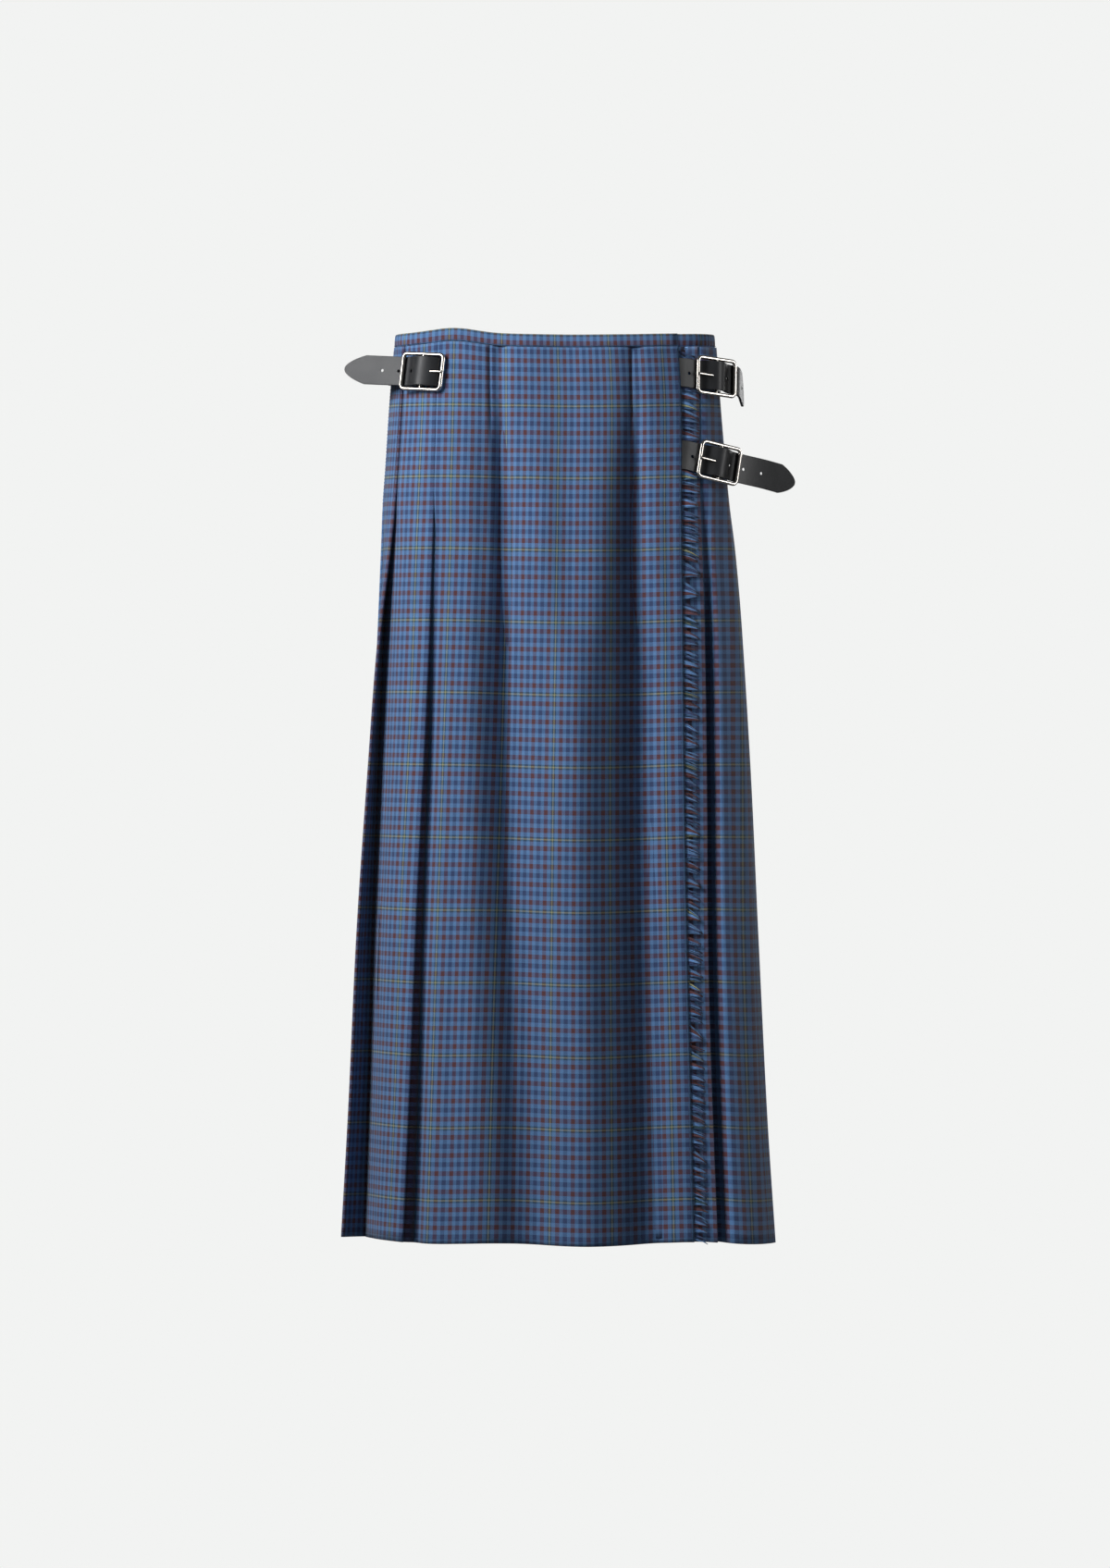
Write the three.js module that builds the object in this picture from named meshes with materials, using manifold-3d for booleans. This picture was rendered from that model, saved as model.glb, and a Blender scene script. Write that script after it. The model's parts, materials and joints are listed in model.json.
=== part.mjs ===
// A long wrap skirt with knife pleats all round the back, a fringed apron edge and three strap-and-buckle fastenings.
// Millimetres, +Z up, the front faces -Y. The origin is the middle of the waist opening, at half the waistband's height.
import * as THREE from "three";
import { mergeVertices } from "three/addons/utils/BufferGeometryUtils.js";
import Module from "manifold-3d";

const wasm = await Module();
wasm.setup();

// Driving dimensions
const SKIRT_LENGTH = 785;
const BAND_HEIGHT = 11;
const BAND_THICK = 2.6;
const CLOTH = 1.2; // wall of one layer of cloth
const SEAM_GAP = 0.3;
const PANEL_GAP = 0.5; // between the edges of two cloth panels that meet inside a pleat
const LAYER = 1.8; // from the middle of one folded layer to the next
const HEM_SAG = 5.5; // the middle of the front hangs this much lower at the hem
const WAIST_SAG = 2.2;
const SQUARENESS = 0.03; // how far the oval of the body leans towards a rounded box

// The outline of the outer cloth at depths below the waist: reach to the left, right, front and back.
const OUTLINE = [
  { depth: 0, left: 139.5, right: 139.5, front: 66, back: 74 },
  { depth: 60, left: 144.5, right: 144, front: 78, back: 90 },
  { depth: 115, left: 148, right: 149, front: 87, back: 104 },
  { depth: 150, left: 150.5, right: 152.5, front: 92, back: 111 },
  { depth: 190, left: 152, right: 157.5, front: 96, back: 115 },
  { depth: 255, left: 154.5, right: 163, front: 100, back: 118 },
  { depth: 380, left: 159, right: 170, front: 104, back: 120 },
  { depth: 520, left: 163, right: 175, front: 108, back: 123 },
  { depth: 680, left: 167, right: 181.5, front: 112, back: 127 },
  { depth: 800, left: 170.5, right: 189, front: 114.5, back: 130.5 },
];

// Where the lines that run from waist to hem lie across the front, and how the pleats fold.
// apron: the free edge of the wrap. first, second: the two pleats at the wearer's right hip. last: the fold at the
// other hip. tuck: cloth hidden in each pleat. secondOpen: how far the second pleat swings open, in degrees.
const LINES = [
  { depth: 0, apron: 109.5, first: -102.5, second: -132, last: 123, tuck: 13, secondOpen: 0, apronOut: 7.6, fringe: 13 },
  { depth: 60, apron: 113, first: -103.9, second: -134.5, last: 124.5, tuck: 15.5, secondOpen: 0, apronOut: 7.6, fringe: 13.5 },
  { depth: 150, apron: 112, first: -106.2, second: -140, last: 125.5, tuck: 20, secondOpen: 2, apronOut: 7.4, fringe: 13.8 },
  { depth: 255, apron: 112.4, first: -110, second: -143.5, last: 130, tuck: 23, secondOpen: 22, apronOut: 6, fringe: 13 },
  { depth: 380, apron: 113.2, first: -114.6, second: -147, last: 133, tuck: 24.5, secondOpen: 33, apronOut: 5.6, fringe: 12.4 },
  { depth: 520, apron: 115.5, first: -119.4, second: -151, last: 134.6, tuck: 26, secondOpen: 42, apronOut: 5.4, fringe: 12 },
  { depth: 680, apron: 119, first: -124.6, second: -155, last: 136, tuck: 27, secondOpen: 48, apronOut: 5.4, fringe: 11.5 },
  { depth: 800, apron: 122.3, first: -128.4, second: -158, last: 137.4, tuck: 28, secondOpen: 55, apronOut: 5.4, fringe: 11 },
];

// The soft folds of the front: where each runs, how wide it is to each side, and how far it stands out at four depths.
const FOLD_DEPTHS = [30, 170, 330, 800];
const FOLDS = [
  { name: "left crest", x: [-74, -74, -71, -68], left: 17, right: 15, out: [1, 3, 4.5, 3] },
  { name: "left valley", x: [-50, -46, -42, -36], left: 12, right: 17, out: [-2.2, -7, -8, -4] },
  { name: "left upper crest", x: [-26, -12, 12, 30], left: 16, right: 18, out: [1.8, 3, 4, 2] },
  { name: "middle dip", x: [12, 10, 12, 12], left: 14, right: 14, out: [-1.2, -1.8, 0, 0] },
  { name: "right upper crest", x: [50, 38, 24, 30], left: 18, right: 16, out: [1.5, 3.5, 4.5, 3] },
  { name: "right valley", x: [66, 66, 65, 68], left: 14, right: 16, out: [-2.2, -8, -9, -5] },
];

// The pleats of the back, between the second pleat and the plain panel at the wearer's left hip.
const BACK_PLEATS = 12;
const SIDE_PANEL = 0.165; // share of the way from the second pleat to the last fold
const PLEAT_OPEN_FROM = 150; // the pleats are stitched down above this depth
const HEM_OPEN = [7, 55, 12, 7, 10, 8, 11, 7, 9, 12, 8, 10, 7, 10, 2.5]; // degrees at the hem, for each pleat
const CLOTH_PANELS = ["pleats_right", "pleats_back_right", "pleats_back_left", "pleats_left"]; // the wearer's sides

// Straps and buckles
const STRAP_WIDTH = 25.4;
const STRAP_THICK = 2.2;
const STRAP_POINT = 17; // length of the shaped end
const HOLE_RADIUS = 1.4;
const HOLE_PITCH = 16;
const LAST_HOLE = 32; // from the strap's tip to its nearest hole
const HOLES = 5;
const PRONG_HOLE = 3; // the prong goes through this hole, counted from the tip's own hole as 0
const FRAME_LENGTH = 42;
const FRAME_HEIGHT = 34.4;
const FRAME_WIRE = 1.75; // radius
const FRAME_CORNER = 4.5;
const BAR_RADIUS = 1.5;
const PRONG_RADIUS = 1;
const TAB_THICK = 1.6;
const TAB_WIDTH = 22;

// Fringe
const FRINGE_STRANDS = 128;
const FRINGE_TOP = 15;
const FRINGE_OUT = 2.7;
const FRINGE_THICK = 1;
const FRINGE_BACKING = 7;

const COLOURS = { cloth: 0x3f6296, leather: 0x202223, metal: 0xc9c6c0 };
const rad = THREE.MathUtils.degToRad;
const clamp = THREE.MathUtils.clamp;
const smooth = THREE.MathUtils.smoothstep;
const lerp = THREE.MathUtils.lerp;

// One column of a table at a depth, along a smooth curve through the rows.
function column(table, name, depth) {
  const last = table.length - 1;
  const found = table.findIndex((row) => row.depth > depth);
  const i = clamp((found < 0 ? last + 1 : found) - 1, 0, last - 1);
  const [a, b] = [table[i], table[i + 1]];
  const slope = (j) => {
    const [p, q] = [table[clamp(j - 1, 0, last)], table[clamp(j + 1, 0, last)]];
    return (q[name] - p[name]) / (q.depth - p.depth);
  };
  const span = b.depth - a.depth;
  const t = clamp((depth - a.depth) / span, 0, 1);
  const [t2, t3] = [t * t, t * t * t];
  return (
    (2 * t3 - 3 * t2 + 1) * a[name] +
    (t3 - 2 * t2 + t) * span * slope(i) +
    (3 * t2 - 2 * t3) * b[name] +
    (t3 - t2) * span * slope(i + 1)
  );
}

// The oval of the body at a depth, with its way round measured in millimetres from the front middle to the wearer's right.
function sectionAt(depth) {
  const [left, right, front, back] = ["left", "right", "front", "back"].map((n) => column(OUTLINE, n, depth));
  const oval = { middle: (right - left) / 2, half: (right + left) / 2 - CLOTH / 2, front, back };
  oval.point = (turn, out = 0) => {
    const reach = Math.cos(turn) > 0 ? front : back;
    const k = 1 - SQUARENESS;
    const x = (oval.half * (Math.sin(turn) + SQUARENESS * Math.sin(3 * turn))) / k;
    const y = (-reach * (Math.cos(turn) - SQUARENESS * Math.cos(3 * turn))) / k;
    const dx = (oval.half * (Math.cos(turn) + 3 * SQUARENESS * Math.cos(3 * turn))) / k;
    const dy = (reach * (Math.sin(turn) - 3 * SQUARENESS * Math.sin(3 * turn))) / k;
    const n = new THREE.Vector2(dy, -dx).normalize();
    return new THREE.Vector2(oval.middle + x + n.x * out, y + n.y * out);
  };
  const step = rad(0.5);
  oval.lengths = [0];
  for (let i = 1; i <= 720; i++) {
    const gone = oval.point(-(i - 1) * step).distanceTo(oval.point(-i * step));
    oval.lengths.push(oval.lengths[i - 1] + gone);
  }
  oval.turnAt = (length) => {
    const i = clamp(oval.lengths.findIndex((l) => l > length) - 1, 0, 719);
    const [a, b] = [oval.lengths[i], oval.lengths[i + 1]];
    return -(i + (length - a) / (b - a)) * step;
  };
  oval.lengthAt = (turn) => {
    const i = clamp(Math.floor(-turn / step), 0, 719);
    return lerp(oval.lengths[i], oval.lengths[i + 1], -turn / step - i);
  };
  oval.turnOfX = (x) => {
    let [low, high] = [-Math.PI / 2, Math.PI / 2];
    for (let i = 0; i < 40; i++) {
      const mid = (low + high) / 2;
      if (oval.point(mid).x < x) low = mid;
      else high = mid;
    }
    return (low + high) / 2;
  };
  return oval;
}

// How far the soft folds move the front cloth outwards.
function foldsAt(x, depth) {
  const last = FOLD_DEPTHS.length - 1;
  const found = FOLD_DEPTHS.findIndex((d) => d > depth);
  const i = clamp((found < 0 ? last : found) - 1, 0, last - 1);
  const t = smooth(depth, FOLD_DEPTHS[i], FOLD_DEPTHS[i + 1]);
  return FOLDS.reduce((sum, fold) => {
    const away = x - lerp(fold.x[i], fold.x[i + 1], t);
    const width = away < 0 ? fold.left : fold.right;
    return sum + lerp(fold.out[i], fold.out[i + 1], t) * Math.exp(-((away / width) ** 2));
  }, 0);
}

// The height of a point of cloth: the front hangs a little lower in its middle.
function heightAt(x, y, depth) {
  const across = Math.exp(-(((x - 25) / 85) ** 2)) * smooth(-y, 0, 60);
  return BAND_HEIGHT / 2 - depth - across * lerp(WAIST_SAG, HEM_SAG, depth / SKIRT_LENGTH);
}

// A place on the apron, where share 0 is the first pleat's fold and share 1 the free edge.
function apronPoint(oval, depth, share, out = 0) {
  const [from, to] = [column(LINES, "first", depth), column(LINES, "apron", depth)];
  const x = lerp(from, to, share);
  const level = lerp(-2 * LAYER, column(LINES, "apronOut", depth), smooth(share, 0.1, 0.95));
  const wave = foldsAt(x, depth) * smooth(share, 0, 0.12) * smooth(1 - share, 0, 0.1);
  return oval.point(oval.turnOfX(x), level + wave + out);
}

// The middle line of the front apron at a depth, from inside the first pleat to the free edge.
const APRON_COLUMNS = 34;
function apronLine(depth) {
  const oval = sectionAt(depth);
  const start = oval.lengthAt(oval.turnOfX(column(LINES, "first", depth)));
  const tuck = column(LINES, "tuck", depth);
  const hidden = [0.5, 0.25].map((part) => oval.point(oval.turnAt(start + tuck * part), -2 * LAYER));
  const shown = Array.from({ length: APRON_COLUMNS + 1 }, (_, i) => apronPoint(oval, depth, i / APRON_COLUMNS));
  return [...hidden, ...shown];
}

// The middle line of the under apron, from the last fold's seam to its free edge inside the wearer's right hip.
const UNDER_COLUMNS = 24;
const UNDER_EDGE = -86;
function underLine(depth) {
  const oval = sectionAt(depth);
  const fold = oval.lengthAt(oval.turnOfX(column(LINES, "last", depth)) - 2 * Math.PI);
  const seam = oval.point(oval.turnAt(fold + column(LINES, "tuck", depth) + 2 * PANEL_GAP));
  const [from, to] = [column(LINES, "first", depth), column(LINES, "apron", depth)];
  return Array.from({ length: UNDER_COLUMNS + 1 }, (_, i) => {
    const x = lerp(seam.x, UNDER_EDGE, i / UNDER_COLUMNS);
    const share = (x - from) / (to - from);
    const below = apronPoint(oval, depth, share, -lerp(5.2, column(LINES, "apronOut", depth), share));
    const flat = oval.point(oval.turnOfX(x));
    return flat.lerp(below, smooth(i / UNDER_COLUMNS, 0, 0.22));
  });
}

// Where each pleat's fold lies, in millimetres round the oval, from the first pleat to the last fold.
function pleatFolds(oval, depth) {
  const [first, second] = ["first", "second"].map((n) => oval.lengthAt(oval.turnOfX(column(LINES, n, depth))));
  const last = oval.lengthAt(oval.turnOfX(column(LINES, "last", depth)) - 2 * Math.PI);
  const pitch = ((last - second) * (1 - SIDE_PANEL)) / BACK_PLEATS;
  const back = Array.from({ length: BACK_PLEATS }, (_, i) => second + pitch * (i + 1));
  return [first, second, ...back, last];
}

// How far a pleat swings open at a depth.
function openAngle(pleat, depth) {
  if (pleat === 1) return rad(column(LINES, "secondOpen", depth));
  return rad(HEM_OPEN[pleat]) * smooth(depth, PLEAT_OPEN_FROM, SKIRT_LENGTH);
}

// Marks where a stretch of a pleat runs back under its own face, so that its triangles lie like the face's own.
const backward = (point) => Object.assign(point, { backward: true });

// The middle line of all the pleats at a depth, cut into the cloth panels at seams hidden inside pleats.
const FACE_STEPS = 2;
const SIDE_STEPS = 6;
function pleatLines(depth) {
  const oval = sectionAt(depth);
  const folds = pleatFolds(oval, depth);
  const tuck = column(LINES, "tuck", depth);
  const perPanel = Math.ceil((folds.length - 1) / CLOTH_PANELS.length);
  const panels = [];
  const at = (length, out) => oval.point(oval.turnAt(length), out);
  folds.forEach((fold, k) => {
    const hinge = at(fold + tuck, -LAYER);
    const along = at(fold + tuck - 1, -LAYER).sub(hinge).normalize();
    const outward = at(fold + tuck, 0).sub(hinge).normalize();
    const [cos, sin] = [Math.cos(openAngle(k, depth)), Math.sin(openAngle(k, depth))];
    const swung = (length, out) => {
      const v = at(length, out).sub(hinge);
      const [a, o] = [v.dot(along), v.dot(outward)];
      const moved = along.clone().multiplyScalar(a * cos - o * sin);
      return moved.addScaledVector(outward, a * sin + o * cos).add(hinge);
    };
    if (k > 0) panels.at(-1).push(at(fold, -2 * LAYER), at(fold + tuck / 2, -2 * LAYER));
    if (k % perPanel === 0 && k < folds.length - 1) {
      panels.push([at(fold + tuck / 2 + PANEL_GAP, -2 * LAYER)]);
    }
    const line = panels.at(-1);
    line.push(at(fold + tuck, -2 * LAYER), backward(hinge), backward(swung(fold + tuck / 2, -LAYER)));
    line.push(swung(fold, -LAYER));
    line.push(swung(fold, 0), swung(fold + tuck / 2, 0), swung(fold + tuck, 0));
    if (k === folds.length - 1) return;
    const next = folds[k + 1];
    const steps = k === folds.length - 2 ? SIDE_STEPS : FACE_STEPS;
    for (let i = 1; i < steps; i++) line.push(at(lerp(fold + tuck, next, i / steps), (-2 * LAYER * i) / steps));
  });
  return panels;
}

// A line moved sideways by a distance, with its corners kept sharp.
function beside(line, distance) {
  return line.map((p, i) => {
    const before = p.clone().sub(line[i - 1] ?? p).normalize();
    const after = (line[i + 1] ?? p).clone().sub(p).normalize();
    const [a, b] = [before.length() ? before : after, after.length() ? after : before];
    const bisector = new THREE.Vector2(-(a.y + b.y), a.x + b.x).normalize();
    const straight = bisector.x * -a.y + bisector.y * a.x;
    return p.clone().addScaledVector(bisector, distance / Math.max(straight, 0.5));
  });
}

// A closed solid between two grids of points of the same shape. A list may say which columns of squares run backward.
function solidBetween(outer, inner, backwards = []) {
  const [rows, columns] = [outer.length, outer[0].length];
  const points = [...outer.flat(), ...inner.flat()];
  const id = (side, r, c) => side * rows * columns + r * columns + c;
  const faces = [];
  const quad = (a, b, c, d) => faces.push(a, b, c, a, c, d);
  for (let r = 0; r < rows - 1; r++) {
    for (let c = 0; c < columns - 1; c++) {
      const outside = [id(0, r, c), id(0, r + 1, c), id(0, r + 1, c + 1), id(0, r, c + 1)];
      const inside = [id(1, r, c), id(1, r, c + 1), id(1, r + 1, c + 1), id(1, r + 1, c)];
      if (backwards[c]) {
        outside.push(outside.shift());
        inside.push(inside.shift());
      }
      quad(...outside);
      quad(...inside);
    }
    quad(id(0, r, 0), id(1, r, 0), id(1, r + 1, 0), id(0, r + 1, 0));
    quad(id(0, r, columns - 1), id(0, r + 1, columns - 1), id(1, r + 1, columns - 1), id(1, r, columns - 1));
  }
  for (let c = 0; c < columns - 1; c++) {
    quad(id(0, 0, c), id(0, 0, c + 1), id(1, 0, c + 1), id(1, 0, c));
    quad(id(0, rows - 1, c), id(1, rows - 1, c), id(1, rows - 1, c + 1), id(0, rows - 1, c + 1));
  }
  return facingOut(points, faces);
}

// A geometry from points and triangles, turned so that its faces point out.
function facingOut(points, faces) {
  let volume = 0;
  for (let i = 0; i < faces.length; i += 3) {
    const [a, b, c] = [points[faces[i]], points[faces[i + 1]], points[faces[i + 2]]];
    volume += a.dot(b.clone().cross(c));
  }
  const turned = volume < 0 ? faces.map((_, i) => faces[i - (i % 3) + [0, 2, 1][i % 3]]) : faces;
  const geometry = new THREE.BufferGeometry().setFromPoints(points);
  return geometry.setIndex(turned);
}

// A wall of cloth through the lines that a function gives at each depth.
function clothWall(lineAt, depths, thick = CLOTH) {
  const side = (distance) =>
    depths.map((depth) =>
      beside(lineAt(depth), distance).map((p) => new THREE.Vector3(p.x, p.y, heightAt(p.x, p.y, depth))),
    );
  return solidBetween(side(thick / 2), side(-thick / 2), lineAt(depths[0]).map((p) => p.backward));
}

// Joining and cutting closed geometries
function manifoldOf(geometry) {
  const plain = new THREE.BufferGeometry();
  plain.setAttribute("position", geometry.getAttribute("position").clone());
  if (geometry.index) plain.setIndex(geometry.index.clone());
  const merged = mergeVertices(plain, 1e-4);
  const triVerts = new Uint32Array(merged.index.array);
  return new wasm.Manifold(new wasm.Mesh({ numProp: 3, vertProperties: merged.attributes.position.array, triVerts }));
}

function geometryOf(manifold) {
  const mesh = manifold.getMesh();
  const geometry = new THREE.BufferGeometry();
  geometry.setAttribute("position", new THREE.BufferAttribute(new Float32Array(mesh.vertProperties), 3));
  return geometry.setIndex(new THREE.BufferAttribute(new Uint32Array(mesh.triVerts), 1));
}

function joined(first, ...others) {
  return geometryOf(others.reduce((sum, other) => sum.add(manifoldOf(other)), manifoldOf(first)));
}

function cut(first, ...others) {
  return geometryOf(others.reduce((left, other) => left.subtract(manifoldOf(other)), manifoldOf(first)));
}

// A round wire along points, closed on itself or with flat ends.
function wire(path, radius, sides, closed, across = new THREE.Vector3(0, 0, 1)) {
  const rings = path.map((p, i) => {
    const before = path[closed ? (i + path.length - 1) % path.length : Math.max(i - 1, 0)];
    const after = path[closed ? (i + 1) % path.length : Math.min(i + 1, path.length - 1)];
    const along = after.clone().sub(before).normalize();
    const side = along.clone().cross(across).normalize();
    const up = side.clone().cross(along).normalize();
    return Array.from({ length: sides }, (_, j) => {
      const angle = (2 * Math.PI * (j + 0.5)) / sides;
      return p.clone().addScaledVector(side, radius * Math.cos(angle)).addScaledVector(up, radius * Math.sin(angle));
    });
  });
  const points = rings.flat();
  const faces = [];
  const stretches = closed ? path.length : path.length - 1;
  for (let i = 0; i < stretches; i++) {
    const [a, b] = [i * sides, ((i + 1) % path.length) * sides];
    for (let j = 0; j < sides; j++) {
      const k = (j + 1) % sides;
      faces.push(a + j, a + k, b + k, a + j, b + k, b + j);
    }
  }
  if (!closed) {
    const end = (path.length - 1) * sides;
    for (let j = 1; j < sides - 1; j++) faces.push(0, j + 1, j, end, end + j, end + j + 1);
  }
  return facingOut(points, faces);
}

// A flat strip of leather along points, with its own way across and its half width at each point.
function strip(path, across, halfWidths, thick) {
  const side = (sign) =>
    path.map((p, i) => {
      const along = (path[i + 1] ?? p).clone().sub(path[i - 1] ?? p).normalize();
      const out = along.clone().cross(across).normalize().multiplyScalar((sign * thick) / 2);
      return [-1, 1].map((edge) => p.clone().add(out).addScaledVector(across, edge * halfWidths[i]));
    });
  return solidBetween(side(1), side(-1));
}

// A buckle's own axes: along the strap towards its tip, up its width, and outwards. It is turned to face past the
// side of the body, leans out at its lower edge as the cloth does, and tilts down towards the strap's tip.
class Station {
  constructor(origin, { turn, lean, tilt }) {
    const side = Math.sign(Math.cos(turn));
    const level = new THREE.Vector3(Math.cos(turn), Math.sin(turn), 0);
    const out = new THREE.Vector3(Math.sin(turn) * side, -Math.cos(turn) * side, 0);
    this.origin = origin;
    this.out = out.clone().multiplyScalar(Math.cos(lean)).setZ(Math.sin(lean));
    const up = out.clone().multiplyScalar(-Math.sin(lean)).setZ(Math.cos(lean));
    this.along = level.clone().multiplyScalar(Math.cos(tilt)).addScaledVector(up, Math.sin(tilt));
    this.up = up.clone().multiplyScalar(Math.cos(tilt)).addScaledVector(level, -Math.sin(tilt));
  }
  place(along, out, up = 0) {
    const p = this.origin.clone().addScaledVector(this.along, along);
    return p.addScaledVector(this.out, out).addScaledVector(this.up, up);
  }
}

const UNDER_BAR = -(FRAME_WIRE + SEAM_GAP + STRAP_THICK / 2);
const HUMP = BAR_RADIUS + TAB_THICK + 3 * SEAM_GAP + STRAP_THICK / 2 - UNDER_BAR;
const HUMP_REACH = 16.5;
const humpAt = (along) =>
  UNDER_BAR + (Math.abs(along) < HUMP_REACH ? (HUMP / 2) * (1 + Math.cos((Math.PI * along) / HUMP_REACH)) : 0);

// The rectangular wire frame with its middle bar.
function buckleFrame(station) {
  const [halfLength, halfHeight] = [FRAME_LENGTH / 2 - FRAME_WIRE, FRAME_HEIGHT / 2 - FRAME_WIRE];
  const corners = [
    { along: 1, up: 1, from: 0 },
    { along: -1, up: 1, from: 90 },
    { along: -1, up: -1, from: 180 },
    { along: 1, up: -1, from: 270 },
  ];
  const path = corners.flatMap(({ along, up, from }) =>
    [0, 30, 60, 90].map((degrees) => {
      const angle = rad(from + degrees);
      const a = along * (halfLength - FRAME_CORNER) + FRAME_CORNER * Math.cos(angle);
      const u = up * (halfHeight - FRAME_CORNER) + FRAME_CORNER * Math.sin(angle);
      return station.place(a, 0, u);
    }),
  );
  const ends = [-1, 1].map((side) => station.place(0, 0, side * halfHeight));
  const ring = wire(path, FRAME_WIRE, 8, true, station.out);
  return joined(ring, wire(ends, BAR_RADIUS, 8, false, station.out));
}

// The prong: an eye round the middle bar, and a pin that rests on the end bar.
const PRONG_REST = FRAME_WIRE + PRONG_RADIUS + SEAM_GAP;
function buckleProng({ station, cross }) {
  const eye = BAR_RADIUS + SEAM_GAP + PRONG_RADIUS;
  const loop = Array.from({ length: 12 }, (_, i) => {
    const angle = rad(30 * i);
    return station.place(eye * Math.cos(angle), eye * Math.sin(angle));
  });
  const end = -FRAME_LENGTH / 2;
  const pin = [
    station.place(0, eye),
    station.place(cross, PRONG_REST - 0.4),
    station.place(end + 4, PRONG_REST),
    station.place(end - 0.8, PRONG_REST),
  ];
  const ring = wire(loop, PRONG_RADIUS, 6, true, station.up);
  return joined(ring, wire(pin, PRONG_RADIUS, 6, false, station.up));
}

// Lengths run back from the tip, so that the holes fall where they are punched.
function strapSolid({ station, path, cross }) {
  const curve = new THREE.CatmullRomCurve3(path, false, "centripetal");
  const total = curve.getLength();
  const rows = Math.round((total - STRAP_POINT) / 4);
  const body = Array.from({ length: rows + 1 }, (_, i) => ({ at: ((total - STRAP_POINT) * i) / rows, wide: 1 }));
  const point = [0.35, 0.65, 0.85, 0.96, 1].map((t) => ({
    at: total - STRAP_POINT * (1 - t),
    wide: lerp(Math.sqrt(1 - t * t), 1 - t, 0.35) + 0.06 * t,
  }));
  const stations = [...body, ...point];
  const points = stations.map((s) => curve.getPointAt(s.at / total));
  const widths = stations.map((s) => (s.wide * STRAP_WIDTH) / 2);
  const leather = strip(points, station.up, widths, STRAP_THICK);
  const punches = [];
  for (let i = 0; i < HOLES; i++) {
    const t = (total - LAST_HOLE - i * HOLE_PITCH) / total;
    if (t < 0.03) continue;
    const middle = curve.getPointAt(t);
    const through = curve.getTangentAt(t).cross(station.up).normalize().multiplyScalar(STRAP_THICK);
    const ends = [middle.clone().sub(through), middle.clone().add(through)];
    if (i === PRONG_HOLE) {
      const passage = [6, -6].map((away) => station.place(cross + away, PRONG_REST - 0.4));
      punches.push(wire(passage, HOLE_RADIUS + 0.1, 8, false, station.up));
    } else punches.push(wire(ends, HOLE_RADIUS, 8, false, station.up));
  }
  return cut(leather, ...punches);
}

// The leather tab that holds the buckle: round the middle bar, then back to where it is sewn to the cloth.
function tabSolid({ station, sewn, leaves }) {
  const round = BAR_RADIUS + SEAM_GAP + TAB_THICK / 2;
  const loop = Array.from({ length: 7 }, (_, i) => {
    const angle = rad(lerp(20, leaves, i / 6));
    return station.place(round * Math.cos(angle), round * Math.sin(angle));
  });
  const path = [...loop, ...sewn];
  const curve = new THREE.CatmullRomCurve3(path, false, "centripetal");
  const rows = 26;
  const points = curve.getSpacedPoints(rows);
  const leather = strip(points, station.up, points.map(() => TAB_WIDTH / 2), TAB_THICK);
  const slotHalf = PRONG_RADIUS + SEAM_GAP;
  const [near, far] = [station.place(-9, 0), station.place(7.5, 0)];
  const corners = [near, far].map((p) => p.clone());
  const slot = strip(corners, station.up, [slotHalf, slotHalf], 11);
  return cut(leather, slot);
}

// A point beside the body, given by its x on the front or its way round, and how far it stands out.
function bodyPoint(depth, { x, degrees }, out) {
  const oval = sectionAt(depth);
  const p = oval.point(degrees === undefined ? oval.turnOfX(x) : rad(degrees), out);
  return new THREE.Vector3(p.x, p.y, heightAt(p.x, p.y, depth));
}

// The strap at the wearer's right hip: from the under apron, out at the first pleat's fold, and left over the hip.
function rightHipFastening() {
  const depth = 37;
  const height = -31.5;
  const station = new Station(new THREE.Vector3(-115.4, -54.6, height), {
    turn: rad(180 - 26),
    lean: rad(9),
    tilt: rad(1.5),
  });
  const oval = sectionAt(depth);
  const [from, to] = [column(LINES, "first", depth), column(LINES, "apron", depth)];
  const inner = [-60, -70, -80, -89].map((x) => {
    const p = apronPoint(oval, depth, (x - from) / (to - from), -3);
    return new THREE.Vector3(p.x, p.y, height);
  });
  const rise = [
    [-16.1, -8.9],
    [-14.3, -6.7],
    [-14.9, -3.4],
    [-15, -0.7],
    [-12.2, 1.7],
    [-9.2, 3.2],
    [-6, 4.3],
    [-3, 4.95],
  ].map(([along, out]) => station.place(along, out));
  const path = [
    ...inner,
    ...rise,
    ...[0, 4, 8, 12, 17].map((a) => station.place(a, humpAt(a))),
    ...[22, 32, 44, 55, 66].map((a) => station.place(a, UNDER_BAR)),
  ];
  const sewn = [station.place(8.7, -3.1), ...[-64, -74, -83].map((degrees) => bodyPoint(depth, { degrees }, 2.4))];
  sewn.forEach((p) => p.setZ(height));
  return { station, path, sewn, leaves: 245, cross: -9.2 };
}

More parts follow.
